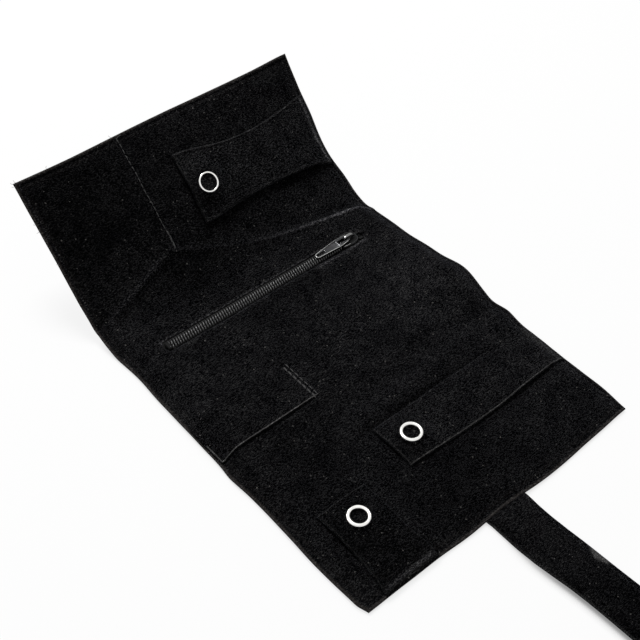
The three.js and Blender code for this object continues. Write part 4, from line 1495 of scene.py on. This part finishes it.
@dataclass
class FlapStitching:
    """The row that divides the flap's pocket, with a loose end of thread at the tip."""

    shape: RollShape
    x: float = -24.6
    low: float = 61.5
    high: float = 116.2
    stitch: float = 2.3
    pause: float = 0.6
    doubled: Line = ((0.9, 0.35), (3.4, 0.4), (5.6, 0.3))
    waver: Pair = (0.15, 0.4)
    lift: Pair = (0.02, 0.26)
    thread: tuple[float, ...] = (0.07, 0.12, 0.14, 0.14, 0.14, 0.12, 0.07)
    loose_points: int = 24
    loose_radius: float = 0.09
    loose_back: float = 0.6
    loose_t: Pair = (2.0, 2.2)
    loose_x: Triple = (1.2, 5.0, 3.2)
    loose_lift: Pair = (0.2, 1.3)
    frays: tuple[tuple[float, float, float, float], ...] = (
        (-77.0, 117.0, -1.6, 1.2), (-76.9, 116.2, -2.1, 0.3), (-76.2, 117.2, -0.6, 1.7),
        (-77.2, 97.5, -1.5, 0.6), (-77.2, 94.8, -1.9, -0.7), (-77.2, 78.0, -1.1, 0.4),
        (-61.0, 117.2, 0.7, 1.1), (-26.5, 117.4, -1.0, 1.5),
    )
    fray_points: int = 9
    fray_radius: float = 0.07
    fray_rooted: float = 0.4
    fray_bend: float = 0.5
    fray_curl: float = 0.4
    fray_lift: float = 0.5

    def divider(self, finish: Material) -> Piece:
        """The divider's stitches, a few of them doubled at the low end.

        Args:
            finish: the thread.

        Returns:
            The piece.
        """
        start = np.arange(self.low, self.high - self.stitch, self.stitch + self.pause)
        after, aside = np.array(self.doubled).T
        shift = np.concatenate([0.0 * start, aside])
        part = np.linspace(0.0, 1.0, len(self.thread))
        t = np.concatenate([start, self.low + after])[:, None] + part * self.stitch
        x = self.x + shift[:, None] + self.waver[0] * np.sin(t * self.waver[1])
        lift = self.lift[0] + self.lift[1] * np.sin(math.pi * part) + 0.0 * t
        paths = self.shape.lifted(x, t, lift)
        return put_threads("flap_divider_stitches", paths, self.thread, FLAP_UP, finish)

    def loose(self, finish: Material) -> Piece:
        """The row's loose end: a thread that swings across in a sine and rises off the flap in another.

        Args:
            finish: the thread.

        Returns:
            The piece.
        """
        part = np.linspace(0.0, 1.0, self.loose_points)
        t = self.high - self.loose_back + self.loose_t[0] * np.sin(self.loose_t[1] * part)
        swing, turn, run = self.loose_x
        x = self.x + swing * np.sin(turn * part) + run * part
        lift = self.loose_lift[0] + self.loose_lift[1] * np.sin(math.pi * part)
        path = self.shape.surface(x, np.minimum(t, self.high)) + self.shape.normal(x, t) * lift[:, None]
        radius = (self.loose_radius,) * self.loose_points
        return put_threads("flap_loose_thread", path[None], radius, FLAP_UP, finish)

    def stray(self, finish: Material) -> Piece:
        """Short frayed threads that stand out from the flap's left edge and its tip.

        Args:
            finish: the thread.

        Returns:
            The piece.
        """
        x, t, out_x, out_t = (np.array(each)[:, None] for each in zip(*self.frays))
        part = np.linspace(0.0, 1.0, self.fray_points)
        base = self.shape.surface(x + self.fray_rooted, t - self.fray_rooted)
        lean = math.radians(self.shape.rest_lean)
        bend = self.fray_bend * np.sin(math.pi * part)
        along = out_t * part + out_x * self.fray_curl * bend
        reach = np.stack([
            out_x * part - out_t * self.fray_curl * bend,
            math.cos(lean) * along,
            math.sin(lean) * along + self.fray_lift * bend,
        ], axis=-1)
        radius = (self.fray_radius,) * self.fray_points
        return put_threads("flap_stray_threads", base + reach, radius, FLAP_UP, finish, sides=5)

    def build(self, dress: Wardrobe) -> list[Piece]:
        """Makes the divider's stitches, the loose thread and the frays.

        Args:
            dress: the finishes.

        Returns:
            The three pieces.
        """
        pieces = [self.divider(dress.thread), self.loose(dress.thread), self.stray(dress.thread)]
        for piece in pieces:
            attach(piece, Body.FLAP.value)
        return pieces


@dataclass
class TieStrap:
    """The tie that leaves the near edge and runs off to its plain end.

    Along the tie u runs from its root and w across it. Each row of edges says how far the left and the right
    edge lie off the plain strap's at u.
    """

    root: Pair = (-0.7, -130.3624)
    drift: float = 4.6
    length: float = 190.0
    width: float = 24.0
    mean_width: float = 21.4
    thickness: float = 2.4
    lift: float = 0.55
    wave_height: float = 0.25
    wave: Pair = (70.0, 5.0)
    raised: float = 0.2
    back: float = 5.0
    rim_share: float = 0.62
    padding: float = 5.0
    seam: Triple = (0.2, 2.2, 0.5)
    seam_from: float = 1.2
    root_share: float = 0.3
    root_reach: float = 9.0
    sway: Triple = (0.5, 31.0, 20.0)
    edges: Rows = (
        (-6.0, 0.7, -0.9), (0.0, 0.7, -0.9), (7.0, 0.1, -1.9), (14.0, -0.6, -2.6), (22.0, -0.9, -3.0),
        (30.0, -0.6, -3.1), (38.0, -0.1, -3.3), (46.0, 0.0, -3.5), (54.0, -0.2, -3.6), (62.0, -0.5, -3.6),
        (70.0, -0.8, -3.6),
    )
    bend: Pair = (-3.2, 2.4)
    worn: Pair = (0.25, 1.0)
    smudge: Triple = (38.0, 4.6, 6.2)
    smudge_worn: Pair = (0.5, 0.9)
    dark: Triple = (-0.45, 30.0, 40.0)

    def axes(self) -> tuple[Array, Array]:
        """The tie's directions along it and across it."""
        drift = math.radians(self.drift)
        along = np.array([math.sin(drift), -math.cos(drift), 0.0])
        return along, np.array([math.cos(drift), math.sin(drift), 0.0])

    def body(self, u: Array, d: Array) -> Array:
        """Thickness of the tie: rounded off at its edges, thinner at its rim, its seam and its root."""
        padded = self.rim_share + (1.0 - self.rim_share) * ease(d / self.padding)
        seam = humps(d, (self.seam,)) * ease(d / self.seam_from)
        root = self.root_share + (1.0 - self.root_share) * ease((u + self.back) / self.root_reach)
        return (rounded_off(d, self.thickness) * padded - seam) * root

    def worn_rim(self, u: Array, w: Array, d: Array) -> Array:
        """Worn pile: along the edges, and in a smudge, a parabola's cap, at the right edge."""
        rim = self.worn[0] * (1.0 - ease(d / self.worn[1]))
        middle, depth, reach = self.smudge
        lens = depth * (1.0 - ((u - middle) / reach) ** 2)
        smudge = self.smudge_worn[0] * rise(w + lens, self.width / 2.0, self.smudge_worn[1])
        return np.maximum(rim, smudge * (lens > 0.0))

    def build(self, dress: Wardrobe) -> list[Piece]:
        """Makes the tie as a closed padded strap with slight waves along it.

        Args:
            dress: the finishes.

        Returns:
            The piece.
        """
        half, last = self.width / 2.0, self.length
        across = mirrored(steps((0.0, 0.15), (1.2, 0.5), (4.0, 1.2), (half, 1.0))) - half
        along = steps(
            (-self.back, 0.15), (-0.4, 0.6), (4.0, 1.5), (last - 6.0, 0.5), (last - 1.2, 0.15), (last, 1.0)
        )
        u, w = np.meshgrid(along, across, indexing="ij")
        d = np.minimum(half - np.abs(w), np.minimum(u + self.back, last - u))
        body = self.body(u, d)
        waves = self.wave_height * ripple(u, 0.0 * u, *self.wave)
        low = self.lift + waves + (self.thickness - body) * self.raised
        at, left_edge, right_edge = np.array(self.edges).T
        drawn = np.interp(u, at, left_edge) * (half - w) + np.interp(u, at, right_edge) * (half + w)
        sway = self.sway[0] * np.sin(u / self.sway[1]) * ease(u / self.sway[2])
        ahead, side = self.axes()
        root = np.array([*self.root, 0.0])
        flat = root + ahead * u[..., None] + side * (w + drawn / self.width + sway)[..., None]
        skin = Skin.sewn((flat + UP * (low + body)[..., None])[::-1], (flat + UP * low[..., None])[::-1])
        rim, nap = self.worn_rim(u, w, d), rises(u, (self.dark,))
        tie = skin.piece("tie_cloth", dress.strap, rim=rim[::-1], nap=nap[::-1])
        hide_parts("tie_strap")
        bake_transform(tie)
        return [tie]


@dataclass(frozen=True)
class Cast:
    """How a metal part of the zip is copied from the frame: its node and name, and how its width changes.

    It is slim times as wide at its left and right ends and lies aside of the zip line, up to the height of
    its crown, over which it stays on the line.
    """

    node: str
    name: str
    slim: Pair
    aside: float
    crown: float


@dataclass(frozen=True)
class Bead:
    """A painted highlight line on metal, partly wear: its radius, start and height, fall along x, and
    outlines.
    """

    name: str
    radius: float
    start: float
    top: float
    fall: float
    outlines: tuple[Line, ...]


@dataclass
class CoilZip:
    """The pocket's coil zip: tapes, coils, slider, pull and stops.

    Pairs for the coil are the upper and the lower row's.
    """

    shape: RollShape
    line: float = 22.1
    left: float = -56.0
    right: float = 50.6
    pitch: float = 1.347
    coil_low: float = 4.75
    coil_top: float = 6.1
    reach: Pair = (2.6, -1.9)
    heads: Pair = (-0.30, -0.62)
    slant: float = 0.29
    climb: Triple = (0.08, 0.80, 0.7)
    wire: float = 0.29
    wire_shares: tuple[float, ...] = (0.9, 1.0, 1.0, 1.0, 1.0, 1.1, 1.2, 0.8)
    tape_left: float = -62.0
    tape_right: float = 60.0
    tape_width: float = 10.6
    tape_gap: float = 0.25
    tape_low: float = 4.02
    tape_high: float = 4.38
    tape_rim: float = 0.25
    tape_columns: int = 62
    stitch: float = 1.65
    stitch_pitch: float = 2.37
    stitch_away: float = -5.6
    stitch_beyond: Pair = (2.0, 6.0)
    stitch_waver: Pair = (0.08, 0.9)
    stitch_lift: Pair = (0.13, -0.03)
    thread: tuple[float, ...] = (0.06, 0.11, 0.12, 0.12, 0.11, 0.06)
    slider: Cast = Cast("zip_slider", "zip_slider_cast", (1.1, 1.1), 0.35, 7.4)
    pull: Cast = Cast("zip_pull_tab", "zip_pull_plate", (0.62, 0.78), 0.0, 90.0)
    merged: float = 0.002
    joined: float = 2.0
    post: Triple = (52.45, 22.1, 5.15)
    post_radius: float = 1.45
    post_upright: float = 0.2
    slim_reach: float = 1.4
    crown_share: float = 0.95
    crown_fade: float = 0.6
    bevel: float = 0.2
    bevel_angle: float = 28.0
    # Beads that paint highlight lines on the pull's rim and the slider's side, partly edge wear.
    pull_bead: Bead = Bead("zip_pull_bead", 0.2, 47.85, 8.72, 0.05, (
        (
            (-0.6, 1.9), (-4.2, 2.32), (-6.2, 2.3), (-18.5, 1.26), (-19.0, 0.9),
            (-19.0, -0.9), (-18.5, -1.26), (-6.2, -2.3), (-4.2, -2.32), (-0.6, -1.9),
        ),
        ((-5.8, 1.75), (-2.5, 1.6), (0.6, 1.45)),
        ((-5.6, 2.0), (-2.5, 2.0), (0.4, 1.9)),
    ))
    slider_bead: Bead = Bead("zip_slider_bead", 0.14, 48.95, 7.35, 0.0, (
        ((-1.2, -3.15), (-3.0, -3.1), (-4.8, -2.8)),
    ))
    bead_points: int = 61

    def coil(self, upper: bool, finish: Material) -> Piece:
        """One row of loops.

        Each loop is a bent wire: it leaves the tape at the outer side, climbs as a power of a sine, runs
        towards the zip line with a slant and turns down at its head.

        Args:
            upper: True for the upper row.
            finish: the coil's nylon.

        Returns:
            The piece.
        """
        x0 = np.arange(self.left, self.right, self.pitch)[:, None]
        part = np.linspace(0.0, 1.0, len(self.wire_shares))[None, :]
        outer, head = (self.reach[0], self.heads[0]) if upper else (self.reach[1], self.heads[1])
        y = self.line + outer + (head - outer) * part
        first, span, power = self.climb
        climb = np.sin(math.pi * (first + span * part)) ** power
        z = self.coil_low + (self.coil_top - self.coil_low) * climb
        paths = np.stack(np.broadcast_arrays(x0 + self.slant * (y - self.line), y, z), axis=-1)
        radius = tuple(self.wire * share for share in self.wire_shares)
        name = "zip_coil_upper_row" if upper else "zip_coil_lower_row"
        return put_threads(name, paths, radius, np.array([1.0, 0.0, 0.0]), finish)

    def tape(self, upper: bool, finish: Material) -> Piece:
        """One woven tape: a thin flat sheet with a rounded rim.

        Args:
            upper: True for the upper tape.
            finish: the tape's weave.

        Returns:
            The piece.
        """
        wide = self.tape_width
        x = np.linspace(self.tape_left, self.tape_right, self.tape_columns)
        w = steps((0.0, 0.12), (0.6, 0.4), (wide - 0.4, 0.2), (wide, 1.0))
        across, along = np.meshgrid(w, x, indexing="ij")
        ends = np.minimum(along - self.tape_left, self.tape_right - along)
        d = np.minimum(np.minimum(across, wide - across), ends)
        half = (self.tape_high - self.tape_low) / 2.0 * np.sqrt(np.clip(d / self.tape_rim, 0.0, 1.0))
        middle = (self.tape_high + self.tape_low) / 2.0
        order = 1 if upper else -1
        y = self.line + order * (self.tape_gap + across)
        above, below = (np.stack([along, y, z], axis=-1)[::order] for z in (middle + half, middle - half))
        name = "zip_tape_upper_weave" if upper else "zip_tape_lower_weave"
        return Skin.sewn(above, below).piece(name, finish)

    def sewing(self, finish: Material) -> Piece:
        """The row of stitches below the zip, each a low arch of thread on the panel.

        Args:
            finish: the thread.

        Returns:
            The piece.
        """
        before, after = self.stitch_beyond
        start = np.arange(self.left - before, self.right + after, self.stitch_pitch)
        part = np.linspace(0.0, 1.0, len(self.thread))
        x = start[:, None] + part * self.stitch
        t = self.line + self.stitch_away + self.stitch_waver[0] * np.sin(self.stitch_waver[1] * x)
        lift = self.stitch_lift[0] * np.sin(math.pi * part) + self.stitch_lift[1] + 0.0 * x
        return put_threads("zip_stitches", self.shape.lifted(x, t, lift), self.thread, UP, finish)

    def cleaned(self, node: str) -> bpy.types.Mesh:
        """A copy of a frame node's mesh, ready to be rounded.

        Its points are merged, its flat faces joined, and the post between its plates left out, where the
        coil runs through.

        Args:
            node: the frame node.

        Returns:
            The mesh.
        """
        mesh = bpy.data.objects[node].data.copy()
        work = bmesh.new()
        work.from_mesh(mesh)
        bmesh.ops.remove_doubles(work, verts=work.verts, dist=self.merged * MM)
        flat = math.radians(self.joined)
        bmesh.ops.dissolve_limit(work, angle_limit=flat, verts=work.verts, edges=work.edges)
        post = Vector(self.post) * MM
        inside = [
            face for face in work.faces
            if (face.calc_center_median() - post).length < self.post_radius * MM
            and abs(face.normal.z) < self.post_upright
        ]
        bmesh.ops.delete(work, geom=inside, context="FACES")
        bmesh.ops.holes_fill(work, edges=[edge for edge in work.edges if edge.is_boundary], sides=0)
        work.to_mesh(mesh)
        work.free()
        return mesh

    def rounded(self, cast: Cast, *metals: Material) -> Piece:
        """A copy of a frame node with its width changed and its edges bevelled.

        Args:
            cast: the node, the piece's name and its changes.
            metals: those of its faces, of its rounded edges and of what is over the crown.

        Returns:
            The piece.
        """
        mesh = self.cleaned(cast.node)
        places = np.empty(3 * len(mesh.vertices))
        mesh.vertices.foreach_get("co", places)
        part = (places[0::3] - places[0::3].min()) / np.ptp(places[0::3])
        share = cast.slim[0] + (cast.slim[1] - cast.slim[0]) * np.clip(part * self.slim_reach, 0.0, 1.0)
        over = rise(places[2::3] / MM, cast.crown, self.crown_fade)
        share = share + over * (self.crown_share - share)
        places[1::3] = (self.line + cast.aside * (1.0 - over)) * MM + share * (places[1::3] - self.line * MM)
        mesh.vertices.foreach_set("co", places)
        mesh.name = cast.name
        mesh.materials.clear()
        for metal in metals:
            mesh.materials.append(metal)
        middles = np.empty(3 * len(mesh.polygons))
        mesh.polygons.foreach_get("center", middles)
        # Faces over the crown take the third metal: on the slider, a painted highlight on its bridge.
        crowned = np.where(middles[2::3] > cast.crown * MM, 2, 0)
        mesh.polygons.foreach_set("material_index", crowned.astype(np.int32))
        mesh.polygons.foreach_set("use_smooth", np.ones(len(mesh.polygons), dtype=bool))
        piece = bpy.data.objects.new(cast.name, mesh)
        bpy.context.scene.collection.objects.link(piece)
        soft = piece.modifiers.new("rounding", "BEVEL")
        soft.width = self.bevel * MM
        soft.segments = 2
        soft.limit_method = "ANGLE"
        soft.angle_limit = math.radians(self.bevel_angle)
        soft.use_clamp_overlap = True
        soft.harden_normals = True
        soft.material = 1
        LOG.info("%s: %d points, %d faces", cast.name, len(mesh.vertices), len(mesh.polygons))
        return piece

    def beading(self, bead: Bead, finish: Material) -> Piece:
        """A bright bead, a painted highlight that is partly wear, whose outlines have their corners cut by a
        running mean.

        Args:
            bead: the bead's sizes.
            finish: the pale metal of the painted highlight.

        Returns:
            The piece.
        """
        paths = []
        for outline in bead.outlines:
            corners = np.array(outline)
            way = np.concatenate([[0.0], np.cumsum(np.hypot(*np.diff(corners, axis=0).T))])
            along = np.linspace(0.0, way[-1], self.bead_points)
            flat = np.stack([np.interp(along, way, corners[:, k]) for k in (0, 1)], axis=-1)
            flat[1:-1] = (flat[:-2] + flat[1:-1] + flat[2:]) / 3.0
            x, y = flat.T
            paths.append(np.stack([bead.start + x, self.line + y, bead.top + bead.fall * x], axis=-1))
        radius = (bead.radius,) * self.bead_points
        return put_threads(bead.name, np.stack(paths), radius, UP, finish, sides=8)

    def build(self, dress: Wardrobe) -> list[Piece]:
        """Makes the zip's pieces and puts them on their bodies.

        Args:
            dress: the finishes.

        Returns:
            The pieces.
        """
        rows = [self.coil(upper, dress.coil) for upper in (True, False)]
        tapes = [self.tape(upper, dress.tape) for upper in (True, False)]
        for piece, node in zip(rows, ("zip_coil_upper", "zip_coil_lower")):
            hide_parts(node)
        for piece, node in zip(tapes, ("zip_tape_upper", "zip_tape_lower")):
            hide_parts(node)
        sewing = self.sewing(dress.tape)
        for piece in [*rows, *tapes, sewing]:
            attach(piece, Body.MIDDLE.value)
        # Paler metals: the slider's bridge is a painted highlight, the pull's rounded edges one partly wear.
        slider = self.rounded(self.slider, dress.enamel, dress.gunmetal, dress.bridge)
        pull = self.rounded(self.pull, dress.gunmetal, dress.worn_edge, dress.worn_edge)
        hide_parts(self.slider.node)
        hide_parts(self.pull.node)
        pull_bead = self.beading(self.pull_bead, dress.worn_edge)
        slider_bead = self.beading(self.slider_bead, dress.worn_edge)
        for piece in (slider, slider_bead):
            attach(piece, Body.SLIDER.value)
        for piece in (pull, pull_bead):
            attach(piece, Body.PULL.value)
        return [*rows, *tapes, sewing, slider, pull, pull_bead, slider_bead]


@dataclass
class Hardware:
    """The frame's own metal parts, which keep their shape and get a finish."""

    nickel: tuple[str, ...] = (
        "flap_snap_stud", "flap_snap_back_ring", "flap_snap_socket", "side_snap_stud", "side_snap_back_ring",
        "side_snap_socket", "end_snap_stud", "end_snap_back_ring", "end_snap_socket",
    )
    enamel: tuple[str, ...] = ("zip_top_stop_upper", "zip_top_stop_lower", "zip_bottom_stop")

    def build(self, dress: Wardrobe) -> None:
        """Puts the metal finishes on the frame's nodes.

        Args:
            dress: the finishes.
        """
        for names, finish in ((self.nickel, dress.nickel), (self.enamel, dress.enamel)):
            for name in names:
                slots = bpy.data.objects[name].data.materials
                slots.clear()
                slots.append(finish)
                LOG.info("%s: the frame's node in %s", name, finish.name)


@dataclass
class Studio:
    """Camera, soft light and a white floor that keeps a faint shadow."""

    tie: TieStrap
    position: Triple = (-253.78, -275.51, 410.84)
    right: Triple = (0.75162, -0.65799, 0.04551)
    up: Triple = (0.46235, 0.5748, 0.67512)
    back: Triple = (-0.47033, -0.4864, 0.73625)
    focal: float = 1227.2
    picture: float = 640.0
    sensor: float = 36.0
    clip: Pair = (0.02, 20.0)
    key_from: Triple = (0.10, 0.44, 0.89)
    key_away: float = 1.5
    key_size: float = 0.55
    key_power: float = 22.0
    fill: float = 0.25
    floor_colour: float = 0.10
    floor_glow: float = 0.88
    floor_reach: float = 4000.0
    floor_drop: float = 0.15
    contact: Pair = (0.5, 0.68)
    contact_reach: float = 4.5
    contact_rays: int = 16
    contact_full: float = 0.33
    band_left: Pair = (-21.0, -17.0)
    band_right: Pair = (-6.0, 0.0)
    band_along: Pair = (2.0, 42.0)

    def camera(self) -> None:
        """Makes the camera at the photograph's place."""
        data = bpy.data.cameras.new("view")
        data.sensor_width = self.sensor
        data.lens = self.focal / self.picture * self.sensor
        data.clip_start, data.clip_end = self.clip
        eye = bpy.data.objects.new("view", data)
        turn = Matrix((self.right, self.up, self.back)).transposed()
        eye.matrix_world = Matrix.Translation([c * MM for c in self.position]) @ turn.to_4x4()
        bpy.context.scene.collection.objects.link(eye)
        bpy.context.scene.camera = eye

    def seen(self, graph: Graph) -> NodeSocket:
        """1 for rays from the camera and from glossy or clear surfaces, 0 for the rest."""
        path = graph.node("ShaderNodeLightPath").outputs
        first = graph.math("MAXIMUM", path["Is Camera Ray"], path["Is Glossy Ray"])
        return graph.math("MAXIMUM", first, path["Is Transmission Ray"])

    def lights(self) -> None:
        """A wide soft key from above, behind and right, and an even sky."""
        data = bpy.data.lights.new("key", "AREA")
        data.shape = "DISK"
        data.size = self.key_size
        data.energy = self.key_power
        key = bpy.data.objects.new("key", data)
        away = np.array(self.key_from) / np.linalg.norm(self.key_from)
        side = np.cross([0.0, 1.0, 0.0], away)
        side = side / np.linalg.norm(side)
        turn = Matrix((side, np.cross(away, side), away)).transposed()
        key.matrix_world = Matrix.Translation(away * self.key_away) @ turn.to_4x4()
        bpy.context.scene.collection.objects.link(key)
        world = bpy.data.worlds.new("sky")
        world.use_nodes = True
        bpy.context.scene.world = world
        graph = Graph(world.node_tree)
        strength = graph.node("ShaderNodeMapRange", {"Value": self.seen(graph), "To Min": self.fill})
        sky = world.node_tree.nodes["Background"]
        graph.fill(sky, {"Color": rgba(grey(1.0)), "Strength": strength.outputs["Result"]})

    def along_axis(self, graph: Graph, axis: Array) -> NodeSocket:
        """How far a place on the floor lies from the tie's root along one of its directions, in metres."""
        start = float(np.array([*self.tie.root, 0.0]) @ axis) * MM
        inputs = {0: graph.place(), 1: tuple(axis)}
        whole = graph.node("ShaderNodeVectorMath", inputs, operation="DOT_PRODUCT").outputs["Value"]
        return graph.math("SUBTRACT", whole, start)

    def contact_shade(self, graph: Graph) -> NodeSocket:
        """The floor's light beside what stands on it: 1 in the open, less where the near sky is covered.

        The shade is stronger along the tie's left side, a band in the tie's own directions.

        Args:
            graph: the floor's graph.

        Returns:
            The share of light that is left.
        """
        occluded = {"Distance": self.contact_reach * MM}
        near = graph.node("ShaderNodeAmbientOcclusion", occluded, samples=self.contact_rays)
        along, across = (self.along_axis(graph, axis) for axis in self.tie.axes())
        left, right, ahead = (
            tuple(end * MM for end in ends) for ends in (self.band_left, self.band_right, self.band_along)
        )
        band = graph.math("MULTIPLY", graph.spread(across, left), graph.spread(across, right, (1.0, 0.0)))
        band = graph.math("MULTIPLY", band, graph.spread(along, ahead))
        shade = graph.math("SUBTRACT", 1.0, near.outputs["AO"])
        faint = graph.math("MULTIPLY", graph.math("MULTIPLY", shade, shade), self.contact[0])
        full = graph.spread(shade, (0.0, self.contact_full), (0.0, self.contact[1]))
        deeper = graph.math("SUBTRACT", full, faint)
        return graph.math("SUBTRACT", 1.0, graph.math("MULTIPLY_ADD", deeper, band, faint))

    def floor(self) -> Piece:
        """A wide white floor just under the roll.

        Returns:
            The stage piece.
        """
        made, graph, shader = new_finish("white_floor")
        graph.tree.nodes.remove(shader)
        matte = graph.node("ShaderNodeBsdfDiffuse", {"Color": rgba(grey(self.floor_colour))})
        glow = graph.node("ShaderNodeEmission", {"Color": rgba(grey(1.0))})
        light = graph.math("MULTIPLY", self.seen(graph), self.floor_glow)
        graph.feed(glow.inputs["Strength"], graph.math("MULTIPLY", light, self.contact_shade(graph)))
        both = graph.node("ShaderNodeAddShader", {0: matte.outputs[0], 1: glow.outputs[0]})
        graph.feed(graph.tree.nodes["Material Output"].inputs["Surface"], both.outputs[0])
        reach = np.linspace(-self.floor_reach, self.floor_reach, 3)
        y, x = np.meshgrid(reach, reach, indexing="ij")
        points = np.stack([x, y, 0.0 * x - self.floor_drop], axis=-1)
        piece = put_mesh("floor", points, grid_quads(np.arange(9).reshape(3, 3)).tolist(), made)
        return piece

    def build(self) -> None:
        """Makes the camera, the lights and the floor."""
        self.camera()
        self.lights()
        self.floor()
        bpy.context.scene.view_settings.view_transform = "Standard"


def straps(shape: RollShape) -> list[SnapStrap]:
    """The three snap straps, at the frame's places.

    Args:
        shape: the roll that they lie on.

    Returns:
        The flap's, the side's and the end's strap.
    """
    flap = SnapStrap(
        shape, "flap", Body.FLAP_STRAP, StrapRun.FROM_RIGHT, panel=Body.FLAP,
        root=75.3, centre=80.7, width=32.0, length=80.3, setback=8.9, arch=1.0,
        flare=(2.4, 0.9), splay=(0.4, 1.6), waist=(1.8, 4.0), roll_edge=-0.5,
        frayed=(0.10, 0.17), frayed_end=0.10, root_facet_highlight=0.06, brushed=0.4, root_fold_highlight=(6.5, 2.5, 0.65),
        ring_outer=5.0, ring_inner=4.1, ring_height=0.9,
    )
    side = SnapStrap(
        shape, "side", Body.SIDE_STRAP, StrapRun.FROM_RIGHT,
        root=75.3, centre=-79.2, width=24.0, length=93.5, setback=9.7, arch=0.7,
        thickness=1.4, waist=(-1.7, 0.0), roll_edge=-0.7,
        frayed=(0.45, 0.02), frayed_end=0.15, root_facet_highlight=0.10, brushed=0.18,
    )
    end = SnapStrap(
        shape, "end", Body.END_STRAP, StrapRun.FROM_NEAR,
        root=-126.1, centre=-51.9, width=25.0, length=40.7, setback=11.6, arch=0.0,
        start=-1.6, thickness=1.3, flare=(1.6, 1.2), reach=14.0, facet=(0.6, 1.6),
        frayed=(0.08, 0.02), frayed_end=0.12, root_facet_highlight=0.04, brushed=-0.40, root_fold_highlight=(3.6, 1.0, 0.65),
    )
    return [flap, side, end]


def main() -> None:
    """Builds the studio, the finishes and the roll's sub-assemblies in order."""
    logging.basicConfig(level=logging.INFO, format="%(name)s %(message)s")
    tie = TieStrap()
    Studio(tie).build()
    dress = Wardrobe.made()
    shape = RollShape()
    tie.build(dress)
    RollCloth(shape).build(dress)
    for strap in straps(shape):
        strap.build(dress)
    SewnBand(shape).build(dress)
    FlapStitching(shape).build(dress)
    CoilZip(shape).build(dress)
    Hardware().build(dress)


if __name__ == "__main__":
    main()
